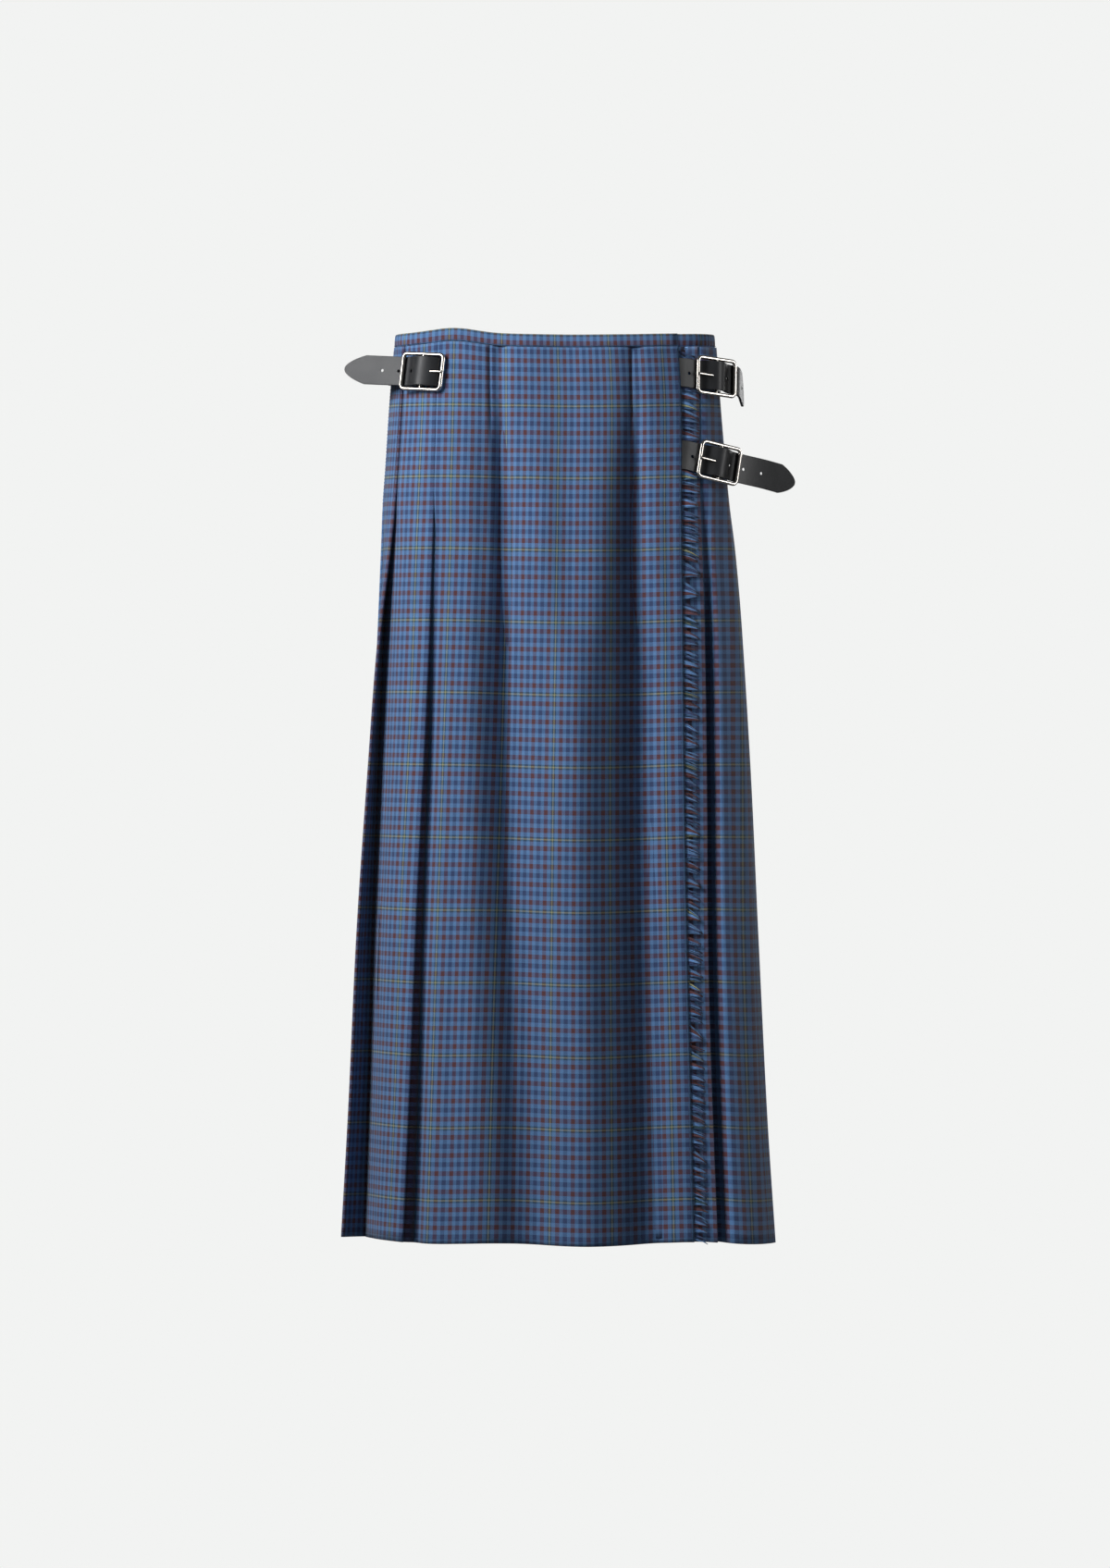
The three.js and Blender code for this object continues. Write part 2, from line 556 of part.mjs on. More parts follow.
// A strap at the wearer's left hip: from behind the apron's free edge, over the fringe and out past the hip.
function leftHipFastening({ depth, lean, tilt, tail, sewnOut }) {
  const behind = (back) => {
    const here = depth + back * Math.tan(tilt);
    const [from, to] = [column(LINES, "first", here), column(LINES, "apron", here)];
    const p = apronPoint(sectionAt(here), here, (to - back - from) / (to - from), -2.6);
    return new THREE.Vector3(p.x, p.y, heightAt(p.x, p.y, here));
  };
  const axes = { turn: rad(34), lean: rad(lean), tilt };
  const flat = new Station(behind(0), axes);
  const station = new Station(flat.place(35, -UNDER_BAR), axes);
  const path = [
    ...[24, 16, 8, 0].map(behind),
    station.place(-26, UNDER_BAR),
    station.place(-19, UNDER_BAR),
    ...[-15, -11, -7, -3.5, 0, 4, 8, 12, 17].map((a) => station.place(a, humpAt(a))),
    ...tail.map(([along, out, up]) => station.place(along, out, up)),
  ];
  const sewn = [73, 79, 85].map((degrees) => bodyPoint(depth + 8, { degrees }, sewnOut));
  sewn.forEach((p, i) => p.setZ(station.origin.z + Math.tan(tilt) * (5 + 6 * i)));
  return { station, path, sewn: [station.place(4, -6.9), ...sewn], leaves: 212, cross: -6 };
}

const STRAIGHT_TAIL = [22, 34, 46, 58, 70].map((along) => [along, UNDER_BAR, 0]);
const CURLED_TAIL = [
  [22, UNDER_BAR - 0.6, 0],
  [30, UNDER_BAR - 4, -1.5],
  [38, UNDER_BAR - 11, -5],
  [45, UNDER_BAR - 20.5, -11],
  [50.5, UNDER_BAR - 31, -18.5],
];

// The fringe: a narrow strip behind the apron's edge with strands standing out of it.
function fringeSolid() {
  const rows = 16;
  const depths = Array.from({ length: rows + 1 }, (_, i) => lerp(FRINGE_TOP, SKIRT_LENGTH - 1, i / rows));
  const place = (depth, past, out = 0) => {
    const oval = sectionAt(depth);
    const p = oval.point(oval.turnOfX(column(LINES, "apron", depth) + past), FRINGE_OUT + out);
    return new THREE.Vector3(p.x, p.y, heightAt(p.x, p.y, depth));
  };
  const side = (sign) =>
    depths.map((depth) =>
      [-FRINGE_BACKING, -FRINGE_BACKING / 2, 0.6].map((past) => place(depth, past, (sign * FRINGE_THICK) / 2)),
    );
  const strands = Array.from({ length: FRINGE_STRANDS }, (_, i) => {
    const depth = lerp(FRINGE_TOP + 4, SKIRT_LENGTH - 6, i / (FRINGE_STRANDS - 1));
    const length = column(LINES, "fringe", depth) * (1 + 0.06 * Math.sin(i * 2.3));
    const droop = 1.2 + 2.4 * smooth(depth, 150, SKIRT_LENGTH) + 0.9 * Math.sin(i * 1.7);
    const spine = [
      { past: -1, drop: 0, half: 1.9 },
      { past: length * 0.55, drop: droop * 0.35, half: 1.8 },
      { past: length, drop: droop, half: 1.1 },
    ];
    const point = ({ past, drop, half }, sign, thick) => {
      const p = place(depth, past, sign * thick);
      return p.setZ(p.z - drop + half);
    };
    const triangle = spine.map((s) => [
      point(s, 1, 0.2),
      point({ ...s, half: -s.half }, 1, 0.2),
      point({ ...s, half: 0 }, -1, 0.42),
    ]);
    const faces = [0, 1, 2, 6, 8, 7];
    for (const from of [0, 3]) {
      for (let j = 0; j < 3; j++) {
        const k = (j + 1) % 3;
        faces.push(from + j, from + 3 + j, from + k, from + k, from + 3 + j, from + 3 + k);
      }
    }
    return facingOut(triangle.flat(), faces);
  });
  return joined(solidBetween(side(1), side(-1)), ...strands);
}

// The waistband: from the apron's free edge back round the body to the under apron's own edge.
function bandLine(depth) {
  const oval = sectionAt(depth);
  const apron = Array.from({ length: 25 }, (_, i) => apronPoint(oval, depth, 1 - i / 24));
  const folds = pleatFolds(oval, depth);
  const [from, to] = [folds[0] + 14, folds.at(-1) + 6];
  const round = Array.from({ length: 41 }, (_, i) => {
    const level = i === 40 ? -0.45 : -0.9;
    return oval.point(oval.turnAt(lerp(from, to, i / 40)), level);
  });
  return [...apron, ...round, ...underLine(depth).filter((_, i) => i % 2 === 0)];
}

function steps(from, to, ...between) {
  return [from, ...between, to];
}

const panelTop = BAND_HEIGHT + SEAM_GAP;
const apronDepths = steps(panelTop, SKIRT_LENGTH, 28, 50, 80, 115, 150, 190, 235, 290, 360, 440, 530, 620, 705);
const underDepths = steps(panelTop, SKIRT_LENGTH - 4, 60, 120, 180, 250, 340, 450, 570, 680);
const pleatDepths = steps(panelTop, SKIRT_LENGTH, 80, 150, 205, 270, 370, 520, 660);

// The opening in the first pleat's seam that the right hip's strap comes out of.
function strapSlit({ station }) {
  const middle = station.place(-14.6, -6.2);
  const box = new THREE.BoxGeometry(9.4, 12, STRAP_WIDTH + 3);
  return box.translate(middle.x, middle.y, middle.z);
}

const skirt = new THREE.Group();
const materials = {
  cloth: new THREE.MeshStandardMaterial({ color: COLOURS.cloth, roughness: 0.9 }),
  leather: new THREE.MeshStandardMaterial({ color: COLOURS.leather, roughness: 0.45 }),
  metal: new THREE.MeshStandardMaterial({ color: COLOURS.metal, roughness: 0.2, metalness: 1 }),
};

function add(name, geometry, material) {
  const mesh = new THREE.Mesh(geometry, materials[material]);
  mesh.name = name;
  skirt.add(mesh);
}

const fastenings = {
  right_hip: rightHipFastening(),
  left_hip_upper: leftHipFastening({ depth: 38, lean: 9, tilt: rad(-2), tail: CURLED_TAIL, sewnOut: 2.4 }),
  left_hip_lower: leftHipFastening({ depth: 110, lean: 8, tilt: rad(-11), tail: STRAIGHT_TAIL, sewnOut: 2.8 }),
};

add("apron", cut(clothWall(apronLine, apronDepths), strapSlit(fastenings.right_hip)), "cloth");
add("under_apron", clothWall(underLine, underDepths), "cloth");
CLOTH_PANELS.forEach((name, i) => add(name, clothWall((depth) => pleatLines(depth)[i], pleatDepths), "cloth"));
add("waistband", clothWall(bandLine, [0, BAND_HEIGHT], BAND_THICK), "cloth");
add("fringe", fringeSolid(), "cloth");
for (const [name, fastening] of Object.entries(fastenings)) {
  add(`strap_${name}`, strapSolid(fastening), "leather");
  add(`tab_${name}`, tabSolid(fastening), "leather");
  add(`frame_${name}`, buckleFrame(fastening.station), "metal");
  add(`prong_${name}`, buckleProng(fastening), "metal");
}

export default skirt;
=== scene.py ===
import json
import math

import bpy
import numpy as np
from bpy.props import FloatProperty, FloatVectorProperty, IntProperty, PointerProperty
from mathutils import Matrix, Vector

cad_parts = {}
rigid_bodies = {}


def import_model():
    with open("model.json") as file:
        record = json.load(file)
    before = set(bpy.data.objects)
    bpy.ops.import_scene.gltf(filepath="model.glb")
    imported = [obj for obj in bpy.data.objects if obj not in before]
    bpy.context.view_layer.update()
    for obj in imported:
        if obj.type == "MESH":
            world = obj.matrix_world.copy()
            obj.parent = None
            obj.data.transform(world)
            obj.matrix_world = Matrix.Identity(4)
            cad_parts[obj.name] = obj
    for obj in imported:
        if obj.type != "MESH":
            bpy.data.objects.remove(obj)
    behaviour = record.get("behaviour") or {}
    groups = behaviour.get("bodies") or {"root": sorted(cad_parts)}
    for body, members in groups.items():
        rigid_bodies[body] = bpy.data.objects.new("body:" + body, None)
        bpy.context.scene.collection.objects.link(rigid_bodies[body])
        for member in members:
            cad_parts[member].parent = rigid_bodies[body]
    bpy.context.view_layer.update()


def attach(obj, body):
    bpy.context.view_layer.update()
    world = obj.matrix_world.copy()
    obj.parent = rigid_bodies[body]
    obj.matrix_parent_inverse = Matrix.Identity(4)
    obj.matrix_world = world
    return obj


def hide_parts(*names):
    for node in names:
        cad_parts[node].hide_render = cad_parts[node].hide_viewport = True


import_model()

bl_info = {
    "name": "Pleated wrap skirt",
    "version": (1, 0, 0),
    "blender": (4, 5, 0),
    "location": "View3D > Sidebar > Wrap skirt",
    "description": "Dresses a long pleated wrap skirt: cloth, fringe, straps, buckles and stage",
    "category": "Object",
}

# The skirt's own shape in millimetres, as its solids have it. Depth runs down from the top of the waistband.
SKIRT_LENGTH = 785
BAND_HEIGHT = 11
CLOTH_TOP = BAND_HEIGHT + 0.3
LAYER = 1.8  # from one layer of a pleat to the next
PANEL_GAP = 0.5
HEM_SAG = 5.5
WAIST_SAG = 2.2
SQUARENESS = 0.03  # how far the outline goes from an oval to a rounded box
WALL = 1.2
# Place across and half-width: where waist and hem sag in front, of the hump in the waistband's top, and of the part
# beside the right hip that hangs lower.
SAG, TOP_HUMP, HIP_DROP = (25, 85), (-88, 27), (-108, 45)

OUTLINE_COLUMNS = ("depth", "left", "right", "front", "back")
OUTLINE = [
    (0, 139.5, 139.5, 66, 74),
    (60, 144.5, 144, 78, 90),
    (115, 148, 149, 87, 104),
    (150, 150.5, 152.5, 92, 111),
    (190, 152, 157.5, 96, 115),
    (255, 154.5, 163, 100, 118),
    (380, 159, 170, 104, 120),
    (520, 163, 175, 108, 123),
    (680, 167, 181.5, 112, 127),
    (800, 170.5, 189, 114.5, 130.5),
]
# The apron's edges and those of the second and last pleats, as places across; how deep a pleat is tucked; how many
# degrees the second pleat stands open; how far the apron's free edge stands out; and the width of the fringe.
LINE_COLUMNS = ("depth", "apron", "first", "second", "last", "tuck", "open", "out", "fringe")
LINES = [
    (0, 106, -102.5, -132, 123, 13, 0, 7.6, 15),
    (60, 109.5, -103.9, -134.5, 124.5, 15.5, 0, 7.6, 15.5),
    (150, 109.5, -106.2, -140, 125.5, 20, 2, 7.4, 15),
    (255, 110.6, -110, -144, 129, 23, 22, 6, 14),
    (380, 111.6, -114.8, -148.5, 130, 24.5, 33, 5.6, 13),
    (520, 114, -120.4, -154, 131.2, 26, 42, 5.4, 12.5),
    (680, 117.8, -126.6, -158.2, 135.5, 27, 48, 5.4, 12),
    (800, 120.5, -131, -161.5, 139.5, 28, 55, 5.4, 11.5),
]
FOLD_DEPTHS = (30, 170, 330, 800)
# Each soft fold of the front: its place across at the four depths, its width to each side, and how far it stands out.
FOLDS = [
    ((-74, -74, -71, -68), 17, 15, (1, 3, 4.5, 3)),
    ((-55, -44, -39, -20), 27, 23, (-1.5, -10, -19, -17)),
    ((-26, -12, 12, 30), 16, 18, (1.8, 3, 4, 2)),
    ((12, 10, 12, 12), 14, 14, (-1.2, -1.8, 0, 0)),
    ((50, 38, 24, 30), 18, 16, (1.5, 3.5, 4.5, 3)),
    ((70, 73, 77, 85), 23, 13, (-1.5, -9, -17, -15)),
    ((112, 114, 116, 122), 15, 20, (1.5, 5, 7, 7)),
]
# Finer creases of the same kind, over the folds.
CREASES = [
    ((-48, -43.5, -44, -36), 8, 6, (-4, -11, -3, -1)),
    ((70, 70, 72, 76), 9, 5, (-1.8, -9, -2, -1)),
    ((-84, -83, -86, -90), 5, 6, (-0.5, -0.9, -0.3, -0.4)),
    ((-60, -58, -56, -52), 5, 7, (0.4, 0.9, 0.3, 0.5)),
    ((-38, -30, -20, -10), 6, 8, (0.9, 1.0, 0.4, 0.3)),
    ((24, 20, 16, 8), 7, 6, (0.7, 0.8, 0.3, -0.4)),
    ((84, 86, 88, 92), 6, 6, (0.3, 0.7, 0.8, 0.5)),
    ((98, 99, 100, 104), 5, 5, (-0.2, -0.6, -0.4, -0.5)),
]
# The darts: place across at the top and at the end of the seam, and how deep the seam is drawn in.
DARTS = [((-57.6, -56.5), 1.6), ((66.4, 66), 1.6)]
DART_DEPTH = 105
DART_WIDTH = 1.7
# Beside the first pleat the apron lies flush above the fell, and falls back in two stages below it.
EDGE_FLUSH = 3.3
EDGE_HOLLOW = (6, 4)
UNDER_EDGE = -86  # place across of the under-apron's own edge
BACK_PLEATS = 12
SIDE_PANEL = 0.165  # share of the way round the back that has no pleat
RECESS = 20  # how far the side panel's edge lies back behind the last pleat
RECESS_DEPTHS = (90, 330)
OPEN_FROM = 150  # depth where the pleats' stitching ends
HEM_OPEN = (7, 55, 12, 7, 10, 8, 11, 7, 9, 12, 8, 10, 7, 10, 2.5)  # degrees, pleat by pleat
PANELS = ("pleats_right", "pleats_back_right", "pleats_back_left", "pleats_left")
PANEL_PLEATS = 4
# Steps across a pleat's visible face, across the side panel, and across a pleat's hidden layers.
FACE_STEPS = np.array([0.2, 0.4, 0.6, 0.76, 0.88, 0.93, 0.96, 0.99])
PANEL_STEPS = np.concatenate([np.arange(1, 40) / 42, [0.955, 0.975, 0.99]])
TUCK_STEPS = np.linspace(0, 1, 7)
BAND_START = 14  # how far behind the first pleat's edge the waistband's back part begins

# How the check lies on the pieces: its repeat in millimetres, and where it begins.
CHECK_ACROSS = 56
TUCK_ON_CLOTH = 28.0
FIRST_START = -0.3  # in widths of the first pleat
SIDE_PHASE = 33.8
LAST_WIDTH = 30
UNDER_WIDTH = 215
APRON_YELLOW = 0.0725  # share of the apron's width where the first light line runs
APRON_REPEAT = 0.2145  # share of the apron's width that one repeat takes
BAND_REPEAT = 46.5  # length of the waistband that one repeat takes
STRIPE = 0.034  # half of a band, as a share of the repeat

# Straps, buckles and fringe.
STRAP_WIDTH = 25.4
STRAP_THICK = 2.2
STRAP_POINT = 20
HOLE_RADIUS = 1.4
PRONG_HOLE_RADIUS = 1.6
FRAME_LENGTH = 42
FRAME_HEIGHT = 34.4
FRAME_WIRE = 1.75
BAR_RADIUS = 1.5
PRONG_RADIUS = 1.15
TAB_THICK = 1.6
TAB_WIDTH = 22
TAB_BEVEL = 0.25
TAB_SLOT = (0.0165, 0.0026, 0.011, 1)  # metres along the strap, up it and through it
FRINGE_TOP = 15
FRINGE_OUT = 2.7
FRINGE_ROOT = 4  # how far the threads begin inside the apron's edge
SEAM_GAP = 0.3
CURVE_STEPS = 24  # points on a smooth path between two given ones

# Heights above the middle bar: a strap that lies under it, its hump over it, and a prong on the end bar.
UNDER_BAR = -(FRAME_WIRE + SEAM_GAP + STRAP_THICK / 2)
HUMP = BAR_RADIUS + TAB_THICK + 3 * SEAM_GAP + STRAP_THICK / 2 - UNDER_BAR
HUMP_REACH = 16.5
PRONG_REST = FRAME_WIRE + PRONG_RADIUS + SEAM_GAP
PRONG_DIP = 0.4

# The photograph's frame, which the camera takes: its height in pixels, metres to a pixel at the skirt's front, how far
# the front stands before the waist's middle, and the height of the picture's middle.
PHOTO_HEIGHT = 1695
PIXEL = 0.0008
FRONT = 0.085
CAMERA_HEIGHT = -0.3861


# ---------------------------------------------------------------- settings


def a_length(name, description, default):
    return FloatProperty(name=name, description=description, default=default, unit="LENGTH")


def a_power(name, description, default):
    return FloatProperty(name=name, description=description, default=default, unit="POWER")


def a_colour(name, description, default):
    return FloatVectorProperty(name=name, description=description, default=default, subtype="COLOR", size=3)


class ClothSettings(bpy.types.PropertyGroup):
    thickness: a_length("Cloth thickness", "Thickness of one layer of cloth", 0.0011)
    across: a_length("Repeat across", "Width of one repeat of the check", CHECK_ACROSS / 1000)
    down: a_length("Repeat down", "Height of one repeat of the check", 0.0623)
    ground: a_colour("Ground", "Blue of the check's ground", (0.088, 0.186, 0.368))
    maroon: a_colour("Maroon", "Red-brown bands", (0.09, 0.039, 0.046))
    navy: a_colour("Navy", "Dark blue bands", (0.035, 0.055, 0.13))
    yellow: a_colour("Yellow", "Thin light line", (0.27, 0.27, 0.15))
    green: a_colour("Dark green", "Dark bands at both sides of the light line", (0.03, 0.065, 0.085))


class FringeSettings(bpy.types.PropertyGroup):
    threads: IntProperty(name="Threads", description="Threads in the fringe", default=1600, min=100, max=4000)
    radius: a_length("Thread radius", "Half the thickness of a thread", 0.00029)


class LeatherSettings(bpy.types.PropertyGroup):
    colour: a_colour("Leather", "Colour of the straps", (0.012, 0.013, 0.015))
    edge: a_length("Edge rounding", "How far the cut edges are rounded", 0.00035)


class MetalSettings(bpy.types.PropertyGroup):
    colour: a_colour("Metal", "Colour of the buckles", (0.67, 0.63, 0.58))
    corner: a_length("Corner radius", "Rounding of the buckle's corners", 0.0036)


class StageSettings(bpy.types.PropertyGroup):
    backdrop: a_colour("Backdrop", "Colour of the backdrop", (0.888, 0.896, 0.888))
    key: a_power("Key light", "Strength of the soft light from the left", 43.5)
    side: a_power("Side light", "Strength of the soft light from the right", 16)
    front: a_power("Front light", "Strength of the soft light beside the camera", 3.5)
    distance: a_length("Camera distance", "From the camera to the skirt's middle", 10)


def settings():
    scene = bpy.context.scene
    return scene.skirt_cloth, scene.skirt_fringe, scene.skirt_leather, scene.skirt_metal, scene.skirt_stage


# ---------------------------------------------------------------- shape of the skirt


def smooth(x, low, high):
    t = np.clip((np.asarray(x, float) - low) / (high - low), 0, 1)
    return t * t * (3 - 2 * t)


def mix(a, b, t):
    return a + (b - a) * t


def bell(x, middle, width):
    return np.exp(-(((x - middle) / width) ** 2))


def hermite(t, a, b, leaving, arriving):
    """A smooth way from a to b, with the slopes by which it leaves and arrives."""
    return (
        (2 * t**3 - 3 * t**2 + 1) * a
        + (t**3 - 2 * t**2 + t) * leaving
        + (3 * t**2 - 2 * t**3) * b
        + (t**3 - t**2) * arriving
    )


def lengths_along(points):
    """How far along a line each of its points lies."""
    return np.concatenate([[0], np.cumsum(np.linalg.norm(np.diff(points, axis=0), axis=1))])


def column(table, names, name, depth):
    """One column of a table at a depth, along a smooth curve through its rows."""
    c, last = names.index(name), len(table) - 1
    i = next((n for n, row in enumerate(table) if row[0] > depth), last + 1) - 1
    i = min(max(i, 0), last - 1)

    def slope(j):
        p, q = table[max(j - 1, 0)], table[min(j + 1, last)]
        return (q[c] - p[c]) / (q[0] - p[0])

    a, b = table[i], table[i + 1]
    span = b[0] - a[0]
    t = min(max((depth - a[0]) / span, 0), 1)
    return hermite(t, a[c], b[c], span * slope(i), span * slope(i + 1))


def line(name, depth):
    return column(LINES, LINE_COLUMNS, name, depth)


class Oval:
    """The body's outline at one depth. Turn 0 is the front middle, and lengths run from it to the wearer's right."""

    def __init__(self, depth):
        left, right, self.front, self.back = (column(OUTLINE, OUTLINE_COLUMNS, n, depth) for n in OUTLINE_COLUMNS[1:])
        self.middle, self.half = (right - left) / 2, (right + left) / 2 - WALL / 2
        self.turns = -np.radians(np.arange(721) * 0.5)
        self.lengths = lengths_along(self.point(self.turns))
        self.fan = np.radians(np.linspace(-90, 90, 361))
        self.fan_x = self.point(self.fan)[:, 0]

    def point(self, turn, out=0):
        turn, out = np.asarray(turn, float), np.asarray(out, float)
        reach, k, q = np.where(np.cos(turn) > 0, self.front, self.back), 1 - SQUARENESS, SQUARENESS
        x = self.half * (np.sin(turn) + q * np.sin(3 * turn)) / k
        y = -reach * (np.cos(turn) - q * np.cos(3 * turn)) / k
        dx = self.half * (np.cos(turn) + 3 * q * np.cos(3 * turn))
        dy = reach * (np.sin(turn) - 3 * q * np.sin(3 * turn))
        size = np.hypot(dx, dy)
        return np.stack([self.middle + x + dy / size * out, y - dx / size * out], -1)

    def turn_at(self, length):
        return np.interp(length, self.lengths, self.turns)

    def length_at(self, turn):
        return np.interp(-np.asarray(turn), -self.turns, self.lengths)

    def turn_of_x(self, x):
        return np.interp(x, self.fan_x, self.fan)

    def at(self, length, out):
        return self.point(self.turn_at(length), out)


def height(p, depth):
    """The height of a depth at points: the front middle sags a little more than the sides."""
    across = bell(p[..., 0], *SAG) * smooth(-p[..., 1], 0, 60)
    return BAND_HEIGHT / 2 - depth - across * mix(WAIST_SAG, HEM_SAG, depth / SKIRT_LENGTH)


def lifted(p, depth):
    """Gives points their height. The waistband's top rises to a low hump, and the cloth hangs lower at both sides."""
    x, front = p[..., 0], smooth(-p[..., 1], -30, 30)
    hump = 4.6 * bell(x, *TOP_HUMP) * front * (1 - smooth(depth, 0, 60))
    drop = 3.6 * bell(x, *HIP_DROP) * front + 6.5 * smooth(x, 108, 190)
    return np.concatenate([p, (height(p, depth) + hump - drop * smooth(depth, 250, 800))[..., None]], -1)


def folds_at(x, depth, folds=FOLDS):
    """How far the soft folds of the front stand out at places across."""
    i = min(max(sum(d <= depth for d in FOLD_DEPTHS) - 1, 0), 2)
    t = float(smooth(depth, FOLD_DEPTHS[i], FOLD_DEPTHS[i + 1]))
    total = 0
    for place, left, right, out in folds:
        middle = mix(place[i], place[i + 1], t)
        total = total + mix(out[i], out[i + 1], t) * bell(x, middle, np.where(x < middle, left, right))
    return total


def forward(oval, x, out):
    """A point of the front at a place across, brought forward or back until it stands that far off the outline."""
    turn = oval.turn_of_x(x)
    base = oval.point(turn)
    square = oval.point(turn, 1)[..., 1] - base[..., 1]
    return np.stack([base[..., 0], base[..., 1] + out / square], -1)


def edge_rise(depth):
    """How far the apron's free edge stands out beyond its solid."""
    return float(folds_at(line("apron", depth), depth))


def apron_share(x, depth):
    """How far over the apron a place across lies, from the edge in the first pleat to the free edge."""
    start, end = line("first", depth), line("apron", depth)
    return (x - start) / (end - start)


def apron_point(oval, depth, share, out=0, creased=False, slide=True):
    """Points of the apron. With slide, the free edge's half stands out straight forward and not square to the body."""
    x = mix(line("first", depth), line("apron", depth), np.asarray(share, float))
    level = mix(-2 * LAYER, line("out", depth), smooth(share, 0.1, 0.95))
    wave = folds_at(x, depth) + (folds_at(x, depth, CREASES) if creased else 0)
    wave = wave * smooth(share, 0, 0.12)
    if creased:
        flush = EDGE_FLUSH * smooth(share, 0.002, 0.0075) * (1 - smooth(share, 0.1, 0.3))
        fall = EDGE_HOLLOW[0] * smooth(depth, 150, 420) + EDGE_HOLLOW[1] * smooth(depth, 420, SKIRT_LENGTH)
        wave = wave + flush * (1 - smooth(depth, 130, 180)) - fall * (1 - smooth(share, 0, 0.085))
        for (top, low), drawn in DARTS:
            seam = mix(top, low, depth / DART_DEPTH)
            wave = wave - drawn * bell(x, seam, DART_WIDTH) * (1 - smooth(depth, 60, DART_DEPTH))
    square = oval.point(oval.turn_of_x(x), level + wave + out)
    if not slide:
        return square
    return mix(square, forward(oval, x, level + wave + out), smooth(share, 0.3, 0.6)[..., None])


def first_fold(oval, depth):
    return float(oval.length_at(oval.turn_of_x(line("first", depth))))


def last_fold(oval, depth):
    return float(oval.length_at(oval.turn_of_x(line("last", depth)) - 2 * math.pi))


def under_line(oval, depth, t):
    """The under-apron, from its seam in the last pleat to its own edge, inside the apron and its folds."""
    seam = oval.at(last_fold(oval, depth) + line("tuck", depth) + 2 * PANEL_GAP, 0)
    x = mix(seam[0], UNDER_EDGE, t)
    share = apron_share(x, depth)
    below = apron_point(oval, depth, share, -mix(5.2, line("out", depth), share))
    flat = oval.point(oval.turn_of_x(x))
    return mix(flat, below, smooth(t, 0, 0.22)[:, None])


def pleat_folds(oval, depth):
    """The length round the body of each pleat's edge."""
    first, last = first_fold(oval, depth), last_fold(oval, depth)
    second = float(oval.length_at(oval.turn_of_x(line("second", depth))))
    pitch = (last - second) * (1 - SIDE_PANEL) / BACK_PLEATS
    return [first, second, *(second + pitch * (i + 1) for i in range(BACK_PLEATS)), last]


def open_angle(pleat, depth):
    if pleat == 1:
        return math.radians(line("open", depth))
    return math.radians(HEM_OPEN[pleat]) * float(smooth(depth, OPEN_FROM, SKIRT_LENGTH))


HEM_FOLDS = pleat_folds(Oval(SKIRT_LENGTH), SKIRT_LENGTH)


def cloth_starts():
    """Where on the cloth each pleat's visible face begins, so that the check runs on from pleat to pleat."""
    widths = np.diff(HEM_FOLDS)
    starts = [FIRST_START * widths[0]]
    for width in widths:
        starts.append(starts[-1] + width + 2 * TUCK_ON_CLOTH)
    shift = (SIDE_PHASE - starts[-2] - widths[-1]) % CHECK_ACROSS
    starts[-2:] = [starts[-2] + shift, starts[-1] + shift]
    return starts


CLOTH_STARTS = cloth_starts()


def swung(points, oval, turn, angles):
    """A pleat's points, swung outwards round its inner turn, each by its own angle."""
    hinge = oval.at(turn, -LAYER)
    along = oval.at(turn - 1, -LAYER) - hinge
    along /= np.hypot(*along)
    outward = oval.at(turn, 0) - hinge
    outward /= np.hypot(*outward)
    a, o = (points - hinge) @ along, (points - hinge) @ outward
    cos, sin = np.cos(angles), np.sin(angles)
    return hinge + np.outer(a * cos - o * sin, along) + np.outer(a * sin + o * cos, outward)


def panel_run(oval, start, end):
    """The cloth left from each step of the side panel to its edge, less where the panel turns away from the front."""
    steps = np.linspace(0, 1, 200)
    step = np.diff(oval.at(mix(start, end, steps), 0), axis=0)
    size = np.hypot(*step.T)
    rate = np.maximum(np.abs(step[:, 0]) / size, 0.4) * size
    return np.interp(PANEL_STEPS, steps, np.concatenate([[0], np.cumsum(rate[::-1])])[::-1])


